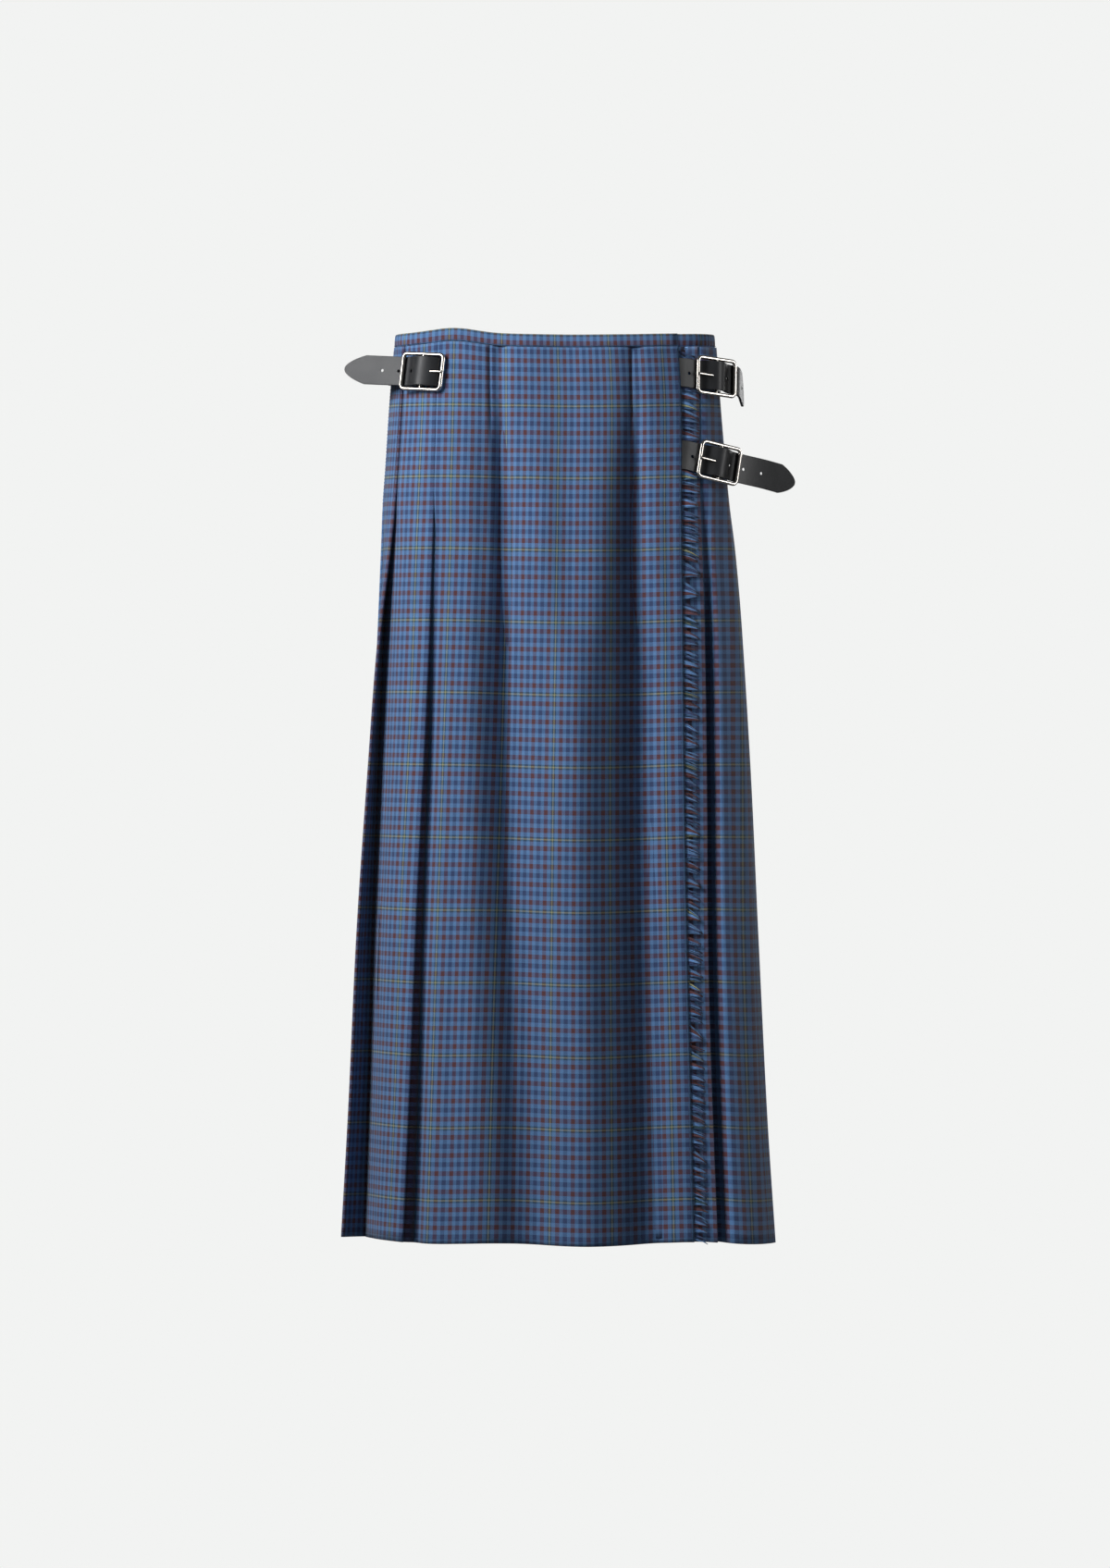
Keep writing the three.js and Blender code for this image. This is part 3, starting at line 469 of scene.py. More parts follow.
def pleat_section(depth, panel):
    """One panel's line through its pleats at a depth, with rounded turns, and each point's place across the cloth."""
    oval = Oval(depth)
    folds, tuck = pleat_folds(oval, depth), line("tuck", depth)
    last = len(folds) - 1
    first = panel * PANEL_PLEATS
    end = min(first + PANEL_PLEATS, last)
    recessed = RECESS * float(smooth(depth, *RECESS_DEPTHS))
    arc, r = np.radians(np.arange(30, 180, 30)), LAYER / 2
    back = TUCK_STEPS[::-1]
    points, cloth = [], []
    for k in range(first, end + 1):
        face = CLOTH_STARTS[k]
        fold = folds[k] + 0.5 * math.sin(depth / 61 + 2.1 * k) * float(smooth(depth, OPEN_FROM, 300))
        turn = fold + tuck
        # The innermost layer. Two panels share one between them, half each.
        behind = TUCK_STEPS
        if k == first:
            behind = behind[behind >= 0.5]
        elif k == end and k < last:
            behind = behind[behind <= 0.5]
        under = np.stack([fold + tuck * behind, np.full(len(behind), -2 * LAYER)], -1)
        if k == first:
            under[0, 0] += PANEL_GAP
        points.append(oval.at(under[:, 0], under[:, 1]))
        if k == last:
            points[-1][:, 1] += recessed * (1 - smooth(behind, 0, 0.9))
        cloth.append(face - TUCK_ON_CLOTH * (2 - behind))
        if k == end and k < last:
            break
        # The inner turn, the middle layer, the pleat's edge and the outer layer, swung open together from the turn.
        path = np.concatenate([
            np.stack([turn + r * np.sin(arc), -1.5 * LAYER - r * np.cos(arc)], -1),
            np.stack([fold + tuck * back, np.full(len(back), -LAYER)], -1),
            np.stack([fold - r * np.sin(arc), -0.5 * LAYER - r * np.cos(arc)], -1),
            np.stack([fold + tuck * TUCK_STEPS, np.zeros(len(back))], -1),
        ])
        angles = open_angle(k, depth) * (np.arange(len(path)) >= len(arc))
        points.append(swung(oval.at(path[:, 0], path[:, 1]), oval, turn, angles))
        width = (HEM_FOLDS[k + 1] - HEM_FOLDS[k]) if k < last else LAST_WIDTH
        cover = tuck / (folds[k + 1] - folds[k]) * width if k < last else tuck
        cloth.append(np.concatenate([
            np.full(len(arc), face - TUCK_ON_CLOTH),
            face - TUCK_ON_CLOTH * back,
            np.full(len(arc), face),
            face + cover * TUCK_STEPS,
        ]))
        if k == last:
            break
        # The visible face, which sinks under the next pleat's edge. The last one is the side panel.
        t = PANEL_STEPS if k == last - 1 else FACE_STEPS
        sink = smooth(t, *((0.84, 0.93) if k == 0 else (0.86, 1)))
        level = -2 * LAYER * mix(t, sink, 1 - float(smooth(depth, 130, 200)))
        if k == last - 1:
            level = level + 1.2 * np.sin(7 * t + depth / 260) * np.sin(np.pi * t) ** 2
        p = oval.at(mix(turn, folds[k + 1], t), level)
        if k == last - 1:
            p[:, 1] += recessed * smooth(t, 0.71, 0.97)
            cloth.append(face + width - panel_run(oval, turn, folds[k + 1]))
        else:
            cloth.append(face + mix(cover, width, t))
        points.append(p)
    return np.concatenate(points), np.concatenate(cloth)


def band_line(depth):
    """The waistband's line at a depth: along the apron, round the back, and along the under-apron inside."""
    oval = Oval(depth)
    apron = apron_point(oval, depth, 1 - np.linspace(0, 1, 90))
    start, end = first_fold(oval, depth) + BAND_START, last_fold(oval, depth) + 6
    t, inside = np.linspace(0, 1, 120), np.linspace(0, 1, 44)
    below = under_line(oval, depth, inside)
    below[:, 1] += 6 * (1 - smooth(inside, 0.02, 0.2))
    return np.concatenate([apron, oval.at(mix(start, end, t), np.where(t > 0.97, -0.45, -0.9)), below])


def beside(points, distance):
    """A line moved sideways, square to itself."""
    tangent = np.gradient(points, axis=0)
    tangent /= np.hypot(tangent[:, 0], tangent[:, 1])[:, None]
    return points + np.stack([-tangent[:, 1], tangent[:, 0]], -1) * distance


# ---------------------------------------------------------------- making meshes


def deselect():
    if bpy.context.object and bpy.context.object.mode != "OBJECT":
        bpy.ops.object.mode_set(mode="OBJECT")
    bpy.ops.object.select_all(action="DESELECT")


def finish_piece(obj, name, smooth_angle=None):
    obj.name = obj.data.name = name
    deselect()
    obj.select_set(True)
    bpy.context.view_layer.objects.active = obj
    if smooth_angle is None:
        bpy.ops.object.shade_smooth()
    else:
        bpy.ops.object.shade_smooth_by_angle(angle=math.radians(smooth_angle))
    return obj


def join(obj, other):
    obj.select_set(True)
    other.select_set(True)
    bpy.context.view_layer.objects.active = obj
    bpy.ops.object.join()


def add_modifier(obj, kind, **values):
    bpy.context.view_layer.objects.active = obj
    bpy.ops.object.modifier_add(type=kind)
    modifier = obj.modifiers[-1]
    for key, value in values.items():
        setattr(modifier, key, value)
    bpy.ops.object.modifier_apply(modifier=modifier.name)


def set_uv(mesh, per_corner):
    layer = mesh.uv_layers.active or mesh.uv_layers.new(name="UVMap")
    layer.data.foreach_set("uv", np.asarray(per_corner, np.float32).ravel())


def corner_vertices(mesh):
    corners = np.empty(len(mesh.loops), int)
    mesh.loops.foreach_get("vertex_index", corners)
    return corners


def vertex_places(mesh):
    places = np.empty(len(mesh.vertices) * 3)
    mesh.vertices.foreach_get("co", places)
    return places.reshape(-1, 3)


def cloth_sheet(name, points, cloth, thickness):
    """A sheet from a grid, moved to rows of points in millimetres, given its place on the cloth, and thickened."""
    rows, columns = points.shape[:2]
    deselect()
    bpy.ops.mesh.primitive_grid_add(x_subdivisions=columns - 1, y_subdivisions=rows - 1, size=2)
    obj = bpy.context.object
    mesh = obj.data
    flat = vertex_places(mesh)
    c = np.rint((flat[:, 0] + 1) / 2 * (columns - 1)).astype(int)
    r = np.rint((1 - flat[:, 1]) / 2 * (rows - 1)).astype(int)
    mesh.vertices.foreach_set("co", (points[r, c] / 1000).ravel())
    set_uv(mesh, (cloth[r, c] / 1000)[corner_vertices(mesh)])
    mesh.update()
    add_modifier(obj, "SOLIDIFY", thickness=thickness, offset=0, use_even_offset=True, use_quality_normals=True)
    return finish_piece(obj, name)


def cut_length(mesh, cuts):
    """Subdivides a cylinder along its length."""
    bpy.ops.object.mode_set(mode="EDIT")
    bpy.ops.mesh.select_all(action="DESELECT")
    bpy.ops.object.mode_set(mode="OBJECT")
    bpy.context.tool_settings.mesh_select_mode = (False, True, False)
    for edge in mesh.edges:
        a, b = (mesh.vertices[v].co.z for v in edge.vertices)
        edge.select = abs(a - b) > 1
    bpy.ops.object.mode_set(mode="EDIT")
    bpy.ops.mesh.subdivide(number_cuts=cuts)
    bpy.ops.object.mode_set(mode="OBJECT")


def tubes(name, rings, cloth=None, smooth_angle=None):
    """Closed tubes from a cylinder, repeated by an array and moved to rings of points: (tube, ring, side, 3), in mm."""
    count, along, sides = rings.shape[:3]
    apart = 10
    deselect()
    bpy.ops.mesh.primitive_cylinder_add(vertices=sides, radius=1, depth=2, end_fill_type="NGON")
    obj = bpy.context.object
    if along > 2:
        cut_length(obj.data, along - 2)
    if count > 1:
        offset = {"use_relative_offset": False, "use_constant_offset": True, "constant_offset_displace": (apart, 0, 0)}
        add_modifier(obj, "ARRAY", count=count, **offset)
    mesh = obj.data
    start = vertex_places(mesh)
    tube = np.rint(start[:, 0] / apart).astype(int)
    ring = np.rint((start[:, 2] + 1) / 2 * (along - 1)).astype(int)
    turn = np.arctan2(start[:, 0] - apart * tube, start[:, 1])
    side = np.rint(turn / (2 * np.pi) * sides).astype(int) % sides
    mesh.vertices.foreach_set("co", (rings[tube, ring, side] / 1000).ravel())
    if cloth is not None:
        corners = corner_vertices(mesh)
        wrapped = side[corners]
        for face in mesh.polygons:
            part = wrapped[face.loop_start : face.loop_start + face.loop_total]
            if len(part) == 4 and part.max() - part.min() > sides / 2:
                part[part == 0] = sides
        set_uv(mesh, cloth[tube[corners], ring[corners], wrapped] / 1000)
    mesh.update()
    face = mesh.polygons[len(mesh.polygons) // 2]
    core = Vector(rings[tube[face.vertices[0]], ring[face.vertices[0]]].mean(0) / 1000)
    if len(face.vertices) == 4 and face.normal.dot(face.center - core) < 0:
        mesh.flip_normals()
    return finish_piece(obj, name, smooth_angle)


def cross_rings(centres, sideways, outward, half_width, half_thick, bevel):
    """Rings of a flat strip with bevelled edges."""
    w, h, b = half_width[:, None], half_thick, bevel
    one = np.ones_like(w)
    x = np.concatenate([w, w - b, w / 3, -w / 3, b - w, -w, -w, b - w, -w / 3, w / 3, w - b, w], 1)
    y = np.concatenate([one * v for v in (h - b, h, h, h, h, h - b, b - h, -h, -h, -h, -h, b - h)], 1)
    x = np.sign(x) * np.maximum(np.abs(x), 0.02)
    return centres[:, None] + x[..., None] * sideways[:, None] + y[..., None] * outward[:, None]


def round_rings(centres, radius, sides, up):
    """Rings of a round wire."""
    along = np.gradient(centres, axis=-2)
    along /= np.linalg.norm(along, axis=-1, keepdims=True)
    side = np.cross(along, up)
    side /= np.linalg.norm(side, axis=-1, keepdims=True)
    top = np.cross(side, along)
    angle = 2 * np.pi * (np.arange(sides) + 0.5) / sides
    radius = np.asarray(radius, float)[..., None, None] if np.ndim(radius) else radius
    ring = side[..., None, :] * np.cos(angle)[:, None] + top[..., None, :] * np.sin(angle)[:, None]
    return centres[..., None, :] + ring * radius


def smooth_path(points):
    """A smooth curve through points, that doesn't overshoot where they are uneven, and how far along it each lies."""
    p = np.asarray(points, float)
    p = np.concatenate([[2 * p[0] - p[1]], p, [2 * p[-1] - p[-2]]])
    t = np.linspace(0, 1, CURVE_STEPS, endpoint=False)[:, None]
    curve = []
    for i in range(1, len(p) - 2):
        before, a, b, after = p[i - 1 : i + 3]
        d0, d1, d2 = (max(np.linalg.norm(v) ** 0.5, 1e-4) for v in (a - before, b - a, after - b))
        leaving = ((a - before) / d0 - (b - before) / (d0 + d1) + (b - a) / d1) * d1
        arriving = ((b - a) / d1 - (after - a) / (d1 + d2) + (after - b) / d2) * d1
        curve.append(hermite(t, a, b, leaving, arriving))
    curve = np.concatenate([*curve, p[-2][None]])
    return curve, lengths_along(curve)


def between(distances, gone, values):
    """Values along a line, at distances along it."""
    return np.stack([np.interp(distances, gone, values[:, k]) for k in range(3)], -1)


def along_path(path, distances):
    curve, gone = path
    return between(distances, gone, curve)


# ---------------------------------------------------------------- materials


def fill(tree, n, inputs):
    """Sets a node's inputs, or links them to other nodes' outputs."""
    for key, value in inputs.items():
        if isinstance(value, bpy.types.NodeSocket):
            tree.links.new(value, n.inputs[key])
        else:
            n.inputs[key].default_value = value


def new_material(name):
    material = bpy.data.materials.new(name)
    material.use_nodes = True
    tree = material.node_tree
    return material, tree, tree.nodes["Principled BSDF"]


def node(tree, kind, inputs=None, **values):
    n = tree.nodes.new(kind)
    for key, value in values.items():
        setattr(n, key, value)
    fill(tree, n, inputs or {})
    return n


def maths(tree, operation, a, b=0.0, c=0.0):
    return node(tree, "ShaderNodeMath", {0: a, 1: b, 2: c}, operation=operation).outputs[0]


def scaled(tree, colour, by):
    return node(tree, "ShaderNodeVectorMath", {0: colour, "Scale": by}, operation="SCALE").outputs[0]


def blended(tree, fac, a, b):
    return node(tree, "ShaderNodeMix", {"Factor": fac, 6: a, 7: b}, data_type="RGBA").outputs[2]


def own_place(tree):
    return node(tree, "ShaderNodeTexCoord").outputs["Object"]


def noise(tree, scale, detail, roughness=0.5):
    inputs = {"Vector": own_place(tree), "Scale": scale, "Detail": detail, "Roughness": roughness}
    return node(tree, "ShaderNodeTexNoise", inputs).outputs["Fac"]


def two_tones(tree, fac, dark, light):
    ramp = node(tree, "ShaderNodeValToRGB", {"Fac": fac})
    for element, colour in zip(ramp.color_ramp.elements, (dark, light)):
        element.color = (*colour, 1)
    return ramp.outputs["Color"]


def spread(tree, fac, low, high):
    return node(tree, "ShaderNodeMapRange", {"Value": fac, "To Min": low, "To Max": high}).outputs[0]


def bump(tree, level, strength, distance):
    inputs = {"Height": level, "Strength": strength, "Distance": distance}
    return node(tree, "ShaderNodeBump", inputs).outputs[0]


def ribs(tree, place, width):
    """Ribs of a width in metres, as a wave from -1 to 1."""
    return maths(tree, "SINE", maths(tree, "MULTIPLY", place, 2 * math.pi / width))


def check_ramp(tree, place, repeat, cloth):
    """The stripes along one direction: the light line between dark green ones, and maroon and navy in turn."""
    share = maths(tree, "FRACT", maths(tree, "ADD", maths(tree, "DIVIDE", place, repeat), 0.5))
    ramp = node(tree, "ShaderNodeValToRGB", {"Fac": share})
    band = ramp.color_ramp
    band.interpolation = "CONSTANT"
    stops = [(0.0, "navy"), (STRIPE, "ground")]
    for half in (0, 0.5):
        if half:
            stops += [(0.468, "green"), (0.492, "yellow"), (0.508, "green"), (0.532, "ground")]
        for i, name in enumerate(("maroon", "navy", "maroon")):
            centre = half + 0.125 * (i + 1)
            stops += [(centre - STRIPE, name), (centre + STRIPE, "ground")]
    stops.append((1 - STRIPE, "navy"))
    band.elements.remove(band.elements[-1])
    for i, (position, name) in enumerate(stops):
        stop = band.elements.new(position) if i else band.elements[0]
        stop.position, stop.color = position, (*getattr(cloth, name), 1)
    return ramp.outputs["Color"]


def cloth_material(name, loose=False):
    """Woven wool. Loose threads have the weft's colours alone, and their tone in place of the place across; that tone
    holds painted light and shade besides random tone.
    """
    cloth = settings()[0]
    material, tree, shader = new_material(name)
    split = node(tree, "ShaderNodeSeparateXYZ", {0: node(tree, "ShaderNodeTexCoord").outputs["UV"]})
    u, v = split.outputs["X"], split.outputs["Y"]
    colour = check_ramp(tree, v, cloth.down, cloth)
    twill = ribs(tree, maths(tree, "ADD", u, v), 0.0013)
    if loose:
        # Painted light and shade: the loose threads' colour is scaled by their tone, which darkens lock borders and
        # roots as shade.
        colour = scaled(tree, colour, u)
    else:
        warp = check_ramp(tree, u, cloth.across, cloth)
        colour = blended(tree, maths(tree, "MULTIPLY_ADD", twill, 0.22, 0.5), warp, colour)
    wool = noise(tree, 900.0, 3.0, 0.7)
    patch = noise(tree, 35.0, 3.0)
    tone = maths(tree, "ADD", maths(tree, "MULTIPLY", wool, 0.5), maths(tree, "MULTIPLY_ADD", patch, 0.22, 0.64))
    fill(tree, shader, {
        "Base Color": scaled(tree, colour, tone),
        "Roughness": 0.92,
        "Specular IOR Level": 0.2,
        "Sheen Weight": 0.12,
        "Sheen Roughness": 0.5,
    })
    if not loose:
        cross = ribs(tree, maths(tree, "SUBTRACT", u, v), 0.0009)
        weave = maths(tree, "ADD", twill, maths(tree, "MULTIPLY", cross, 0.5))
        weave = maths(tree, "ADD", weave, maths(tree, "MULTIPLY", wool, 1.2))
        fill(tree, shader, {"Normal": bump(tree, weave, 0.35, 0.00012)})
    return material


def leather_material():
    colour = settings()[2].colour
    material, tree, shader = new_material("black leather")
    cells = {"Vector": own_place(tree), "Scale": 1500.0}
    grain = node(tree, "ShaderNodeTexVoronoi", cells, feature="DISTANCE_TO_EDGE").outputs["Distance"]
    cloud = noise(tree, 60.0, 4.0)
    fill(tree, shader, {
        "Base Color": two_tones(tree, cloud, [c * 0.75 for c in colour], [c * 1.5 for c in colour]),
        "Roughness": spread(tree, cloud, 0.4, 0.54),
        "Normal": bump(tree, grain, 0.12, 0.0002),
        "Specular IOR Level": 0.55,
    })
    return material


def nickel_material():
    colour = settings()[3].colour
    material, tree, shader = new_material("bright nickel")
    cloud = noise(tree, 220.0, 4.0)
    fill(tree, shader, {
        "Base Color": two_tones(tree, cloud, [c * 0.86 for c in colour], [min(c * 1.12, 1) for c in colour]),
        "Roughness": spread(tree, cloud, 0.14, 0.3),
        "Metallic": 1.0,
    })
    return material


def thread_material():
    material, tree, shader = new_material("sewing thread")
    twist = noise(tree, 2500.0, 2.0)
    fill(tree, shader, {
        "Base Color": two_tones(tree, twist, (0.008, 0.013, 0.03), (0.03, 0.045, 0.1)),
        "Roughness": 0.7,
    })
    return material


MADE = {}


def finish_of(name):
    """A finish's material, made once."""
    makers = {
        "check_cloth": lambda: cloth_material("check cloth"),
        "fringe_yarn": lambda: cloth_material("fringe yarn", loose=True),
        "strap_leather": leather_material,
        "nickel": nickel_material,
        "thread": thread_material,
    }
    if name not in MADE:
        MADE[name] = makers[name]()
    return MADE[name]


def dress(obj, finish, *nodes, slot=None):
    obj.data.materials.clear()
    obj.data.materials.append(finish_of(finish))
    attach(obj, "root")
    if nodes:
        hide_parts(*nodes)
    return obj


# ---------------------------------------------------------------- pieces


def sheet_rows(depths, row):
    """A sheet's points and their places on the cloth, from what `row` gives of both at each depth."""
    points, places = [], []
    for depth in depths:
        p, across = row(depth)
        points.append(lifted(p, depth))
        places.append(np.stack([across, np.full(len(across), depth)], -1))
    return np.array(points), np.array(places)


def check_sheet(name, depths, row):
    """A sheet of the check cloth, which stands for the solid of its name, and its points."""
    points, places = sheet_rows(depths, row)
    obj = cloth_sheet(name + "_cloth", points, places, settings()[0].thickness)
    return dress(obj, "check_cloth", name), points


class SKIRT_OT_apron(bpy.types.Operator):
    """The over-apron, with its soft folds, from inside the first pleat to the fringed edge"""

    bl_idname = "skirt.apron"
    bl_label = "Over-apron"

    def execute(self, context):
        repeat = settings()[0].across * 1000
        depths = np.concatenate([np.linspace(CLOTH_TOP, 160, 60), np.linspace(164, SKIRT_LENGTH, 130)])
        near_darts = [c + d for c in (0.212, 0.796) for d in np.linspace(-0.02, 0.02, 15)]
        shares = np.concatenate([np.linspace(0, 0.018, 13), np.linspace(0.024, 1, 124), near_darts])
        shares = np.unique(np.round(shares, 4))
        hidden = np.array([0.5, 0.35, 0.2, 0.08])

        def row(depth):
            oval, tuck = Oval(depth), line("tuck", depth)
            tucked = oval.at(first_fold(oval, depth) + tuck * hidden, -2 * LAYER)
            across = (np.concatenate([-hidden * tuck / 250, shares]) - APRON_YELLOW) / APRON_REPEAT * repeat
            return np.concatenate([tucked, apron_point(oval, depth, shares, creased=True)]), across

        obj, points = check_sheet("apron", depths, row)
        return {"FINISHED"}


class SKIRT_OT_under_apron(bpy.types.Operator):
    """The under-apron, inside the front, from the last pleat to its own edge at the right hip"""

    bl_idname = "skirt.under_apron"
    bl_label = "Under-apron"

    def execute(self, context):
        t = np.linspace(0, 1, 70)
        across = CLOTH_STARTS[-1] + TUCK_ON_CLOTH + UNDER_WIDTH * t
        depths = np.linspace(CLOTH_TOP, SKIRT_LENGTH - 4, 90)
        obj, points = check_sheet("under_apron", depths, lambda depth: (under_line(Oval(depth), depth, t), across))
        return {"FINISHED"}


class SKIRT_OT_pleats(bpy.types.Operator):
    """The knife pleats round the sides and back, and the plain side panel, in four panels joined inside pleats"""

    bl_idname = "skirt.pleats"
    bl_label = "Pleats"

    def execute(self, context):
        depths = np.concatenate([np.linspace(CLOTH_TOP, OPEN_FROM, 22), np.linspace(158, SKIRT_LENGTH, 72)])
        for panel, name in enumerate(PANELS):
            obj, points = check_sheet(name, depths, lambda depth: pleat_section(depth, panel))
        return {"FINISHED"}


class SKIRT_OT_waistband(bpy.types.Operator):
    """The waistband: a folded strip with a rounded top, from the apron's edge round to the under-apron's"""

    bl_idname = "skirt.waistband"
    bl_label = "Waistband"

    def execute(self, context):
        # Depth, and how far out of the waistband's line: up its outside, over the top and down its inside.
        section = [
            (10.7, 0.8), (9.6, 1.25), (7, 1.4), (3.6, 1.4), (1.3, 1.25), (0.35, 0.75),
            (0, 0), (0.35, -0.75), (1.3, -1.2), (5, -1.3), (9.6, -1.2), (11, 0),
        ]
        rings = np.stack([lifted(beside(band_line(depth), out), depth) for depth, out in section], 1)[None]
        gone = lengths_along(band_line(BAND_HEIGHT / 2))
        across = (1 - APRON_YELLOW) / APRON_REPEAT * CHECK_ACROSS - gone * CHECK_ACROSS / BAND_REPEAT
        down = np.array([d for d, _ in (*section, section[0])])
        places = np.stack(np.broadcast_arrays(across[:, None], down[None]), -1)[None]
        obj = tubes("waistband_cloth", rings, places)
        dress(obj, "check_cloth", "waistband")
        return {"FINISHED"}


def fringe_place(oval, depth, past, out):
    """Points before the apron's free edge, or past it."""
    return forward(oval, line("apron", depth) + past, FRINGE_OUT + out)


class SKIRT_OT_fringe(bpy.types.Operator):
    """The fringe: its narrow backing strip, and loose threads that lean down in small locks"""

    bl_idname = "skirt.fringe"
    bl_label = "Fringe"

    def threads(self, fringe):
        """The threads' middle lines, thinning tips and tones, with painted light and shade in the tones. Each hangs in
        its own way, and is drawn to its lock.
        """
        count, t = fringe.threads, np.linspace(0, 1, 7)
        rng = np.random.default_rng(11)
        depths = np.linspace(FRINGE_TOP, SKIRT_LENGTH - 3, count)
        lock = np.cumsum(rng.random(count) < 0.12)
        locks = rng.random((lock.max() + 1, 4))
        centres = np.empty((count, len(t), 3))
        for i, depth in enumerate(depths):
            if i % 6 == 0:
                oval, rise = Oval(depth), edge_rise(depth)
            long, low, thick, curl = locks[lock[i]]
            reach = line("fringe", depth) * (0.9 + 0.14 * long + 0.08 * rng.random())
            droop = 2.5 + 4.5 * low + rng.normal(0, 0.6)
            swell = (0.4 + 1.6 * thick + rng.normal(0, 0.3)) * np.sin(np.pi * np.clip(t * 1.05, 0, 1))
            wander = rng.normal(0, 0.3) * np.sin(2.5 * t * np.pi + curl * 6)
            past = -FRINGE_ROOT + (reach + FRINGE_ROOT) * t
            centres[i] = lifted(fringe_place(oval, depth, past, 0.3 + swell + rise * (1 - 0.5 * t)), depth)
            centres[i, :, 2] -= droop * t**1.8 + wander
        middle, border = np.zeros_like(centres), np.zeros(count)
        for k in np.unique(lock):
            part = np.flatnonzero(lock == k)
            middle[part] = centres[part].mean(0)
            border[part] = np.abs(np.linspace(-1, 1, len(part)))
        centres = mix(centres, middle, (0.8 * t**1.2)[None, :, None] * np.array([0.2, 0.7, 1]))
        # Painted light and shade in the tone: a lock's border threads are darker than its middle ones, the roots are
        # darker where the apron's edge shades them, and the whole is lightened to make up for that shade. The tone is
        # also lower at the tips, and differs at random lock by lock and thread by thread.
        tone = (1.05 + 0.5 * locks[lock, 3]) * (1.2 - 0.5 * border**2) * rng.normal(1, 0.15, count)
        tone = tone[:, None] * np.interp(t, [0, 0.3, 0.5, 0.8, 1], [0.5, 1, 1.25, 1.1, 0.6])
        return centres, fringe.radius * 1000 * (1 - 0.35 * t**3), tone, depths + rng.normal(0, 0.35, count)

    def execute(self, context):
        sides = 3
        centres, radius, tone, weft = self.threads(settings()[1])
        rings = round_rings(centres, np.broadcast_to(radius, tone.shape), sides, np.array([0.0, 0.0, 1.0]))
        place = np.empty((*tone.shape, sides + 1, 2))
        place[..., 0] = 1000 * tone[:, :, None]
        place[..., 1] = weft[:, None, None]
        threads = tubes("fringe_threads", rings, place)
        past = np.linspace(-7, 0.8, 6)
        points, places = sheet_rows(
            np.linspace(FRINGE_TOP, SKIRT_LENGTH - 1, 60),
            lambda depth: (fringe_place(Oval(depth), depth, past, edge_rise(depth)), np.full(len(past), 750.0)),
        )
        backing = cloth_sheet("fringe_strip", points, places, 0.0008)
        dress(threads, "fringe_yarn", "fringe")
        dress(backing, "fringe_yarn", "fringe")
        return {"FINISHED"}


class Station:
    """A buckle's own axes: along the strap to its tip, up its width, and outwards."""

    def __init__(self, origin, turn, lean, tilt):
        side = math.copysign(1, math.cos(turn))
        level = np.array([math.cos(turn), math.sin(turn), 0])
        out = np.array([math.sin(turn) * side, -math.cos(turn) * side, 0])
        rise = np.array([0, 0, 1.0])
        self.origin = np.asarray(origin, float)
        self.out = out * math.cos(lean) + rise * math.sin(lean)
        up = rise * math.cos(lean) - out * math.sin(lean)
        self.along = level * math.cos(tilt) + up * math.sin(tilt)
        self.up = up * math.cos(tilt) - level * math.sin(tilt)

    def place(self, along, out=0.0, up=0.0):
        return self.origin + self.along * along + self.out * out + self.up * up

    def matrix(self):
        m = Matrix.Identity(4)
        for i, axis in enumerate((self.along, self.up, self.out)):
            m.col[i][:3] = axis
        m.translation = self.origin / 1000
        return m


def hump_at(along):
    """The height of a strap's middle where it goes over the middle bar."""
    if abs(along) >= HUMP_REACH:
        return UNDER_BAR
    return UNDER_BAR + HUMP / 2 * (1 + math.cos(math.pi * along / HUMP_REACH))


def body_point(depth, degrees, out):
    return lifted(Oval(depth).point(math.radians(degrees), out), depth)


def right_hip():
    """The right hip's fastening: its strap comes from inside, up between the first pleat and the apron."""
    depth, z = 34, -28.2
    station = Station((-115.4, -54.6, z), *np.radians((154, 9, 3)))
    oval = Oval(depth)
    path = [[*apron_point(oval, depth, apron_share(x, depth), -3), z] for x in (-60, -70, -80, -89)]
    rise = [(-16.1, -8.9), (-14.3, -6.7), (-14.9, -3.4), (-15, -0.7), (-12.2, 1.7), (-9.2, 3.2), (-6, 4.3), (-3, 4.95)]
    path += [station.place(a, o) for a, o in rise]
    path += [station.place(a, hump_at(a)) for a in (0, 4, 8, 12, 17)]
    path += [station.place(a, UNDER_BAR) for a in (22, 32, 44, 60, 77)]
    sewn = [station.place(8.7, -3.1), *(body_point(depth, d, 2.4) for d in (-64, -74, -83))]
    for p in sewn:
        p[2] = z
    return {"station": station, "path": path, "sewn": sewn, "leaves": 245, "cross": -9.2, "holes": (10.2, 24, 40)}


def left_hip(depth, reach, axes, tail, sewn_out, holes):
    """A fastening at the left hip: its strap comes out under the apron's free edge, and its buckle hangs past it."""
    turn, lean, tilt = np.radians(axes)

    def behind(back):
        here = depth + back * math.tan(tilt)
        share = apron_share(line("apron", here) - back, here)
        return lifted(apron_point(Oval(here), here, share, -2.6, slide=back > 4), here)

    edge = Station(behind(0), turn, lean, tilt)
    station = Station(edge.place(reach, -UNDER_BAR), turn, lean, tilt)
    path = [*(behind(b) for b in (24, 16, 8, 0)), station.place(-26, UNDER_BAR), station.place(-19, UNDER_BAR)]
    path += [station.place(a, hump_at(a)) for a in (-15, -11, -7, -3.5, 0, 4, 8, 12, 17)]
    path += [station.place(a, UNDER_BAR - drop, up) for a, drop, up in tail]
    sewn = [body_point(depth + 8, d, sewn_out) for d in (73, 79, 85)]
    for i, p in enumerate(sewn):
        p[2] = station.origin[2] + math.tan(tilt) * (5 + 6 * i)
    sewn = [station.place(4, -6.9), *sewn]
    return {"station": station, "path": path, "sewn": sewn, "leaves": 212, "cross": -6, "holes": holes}


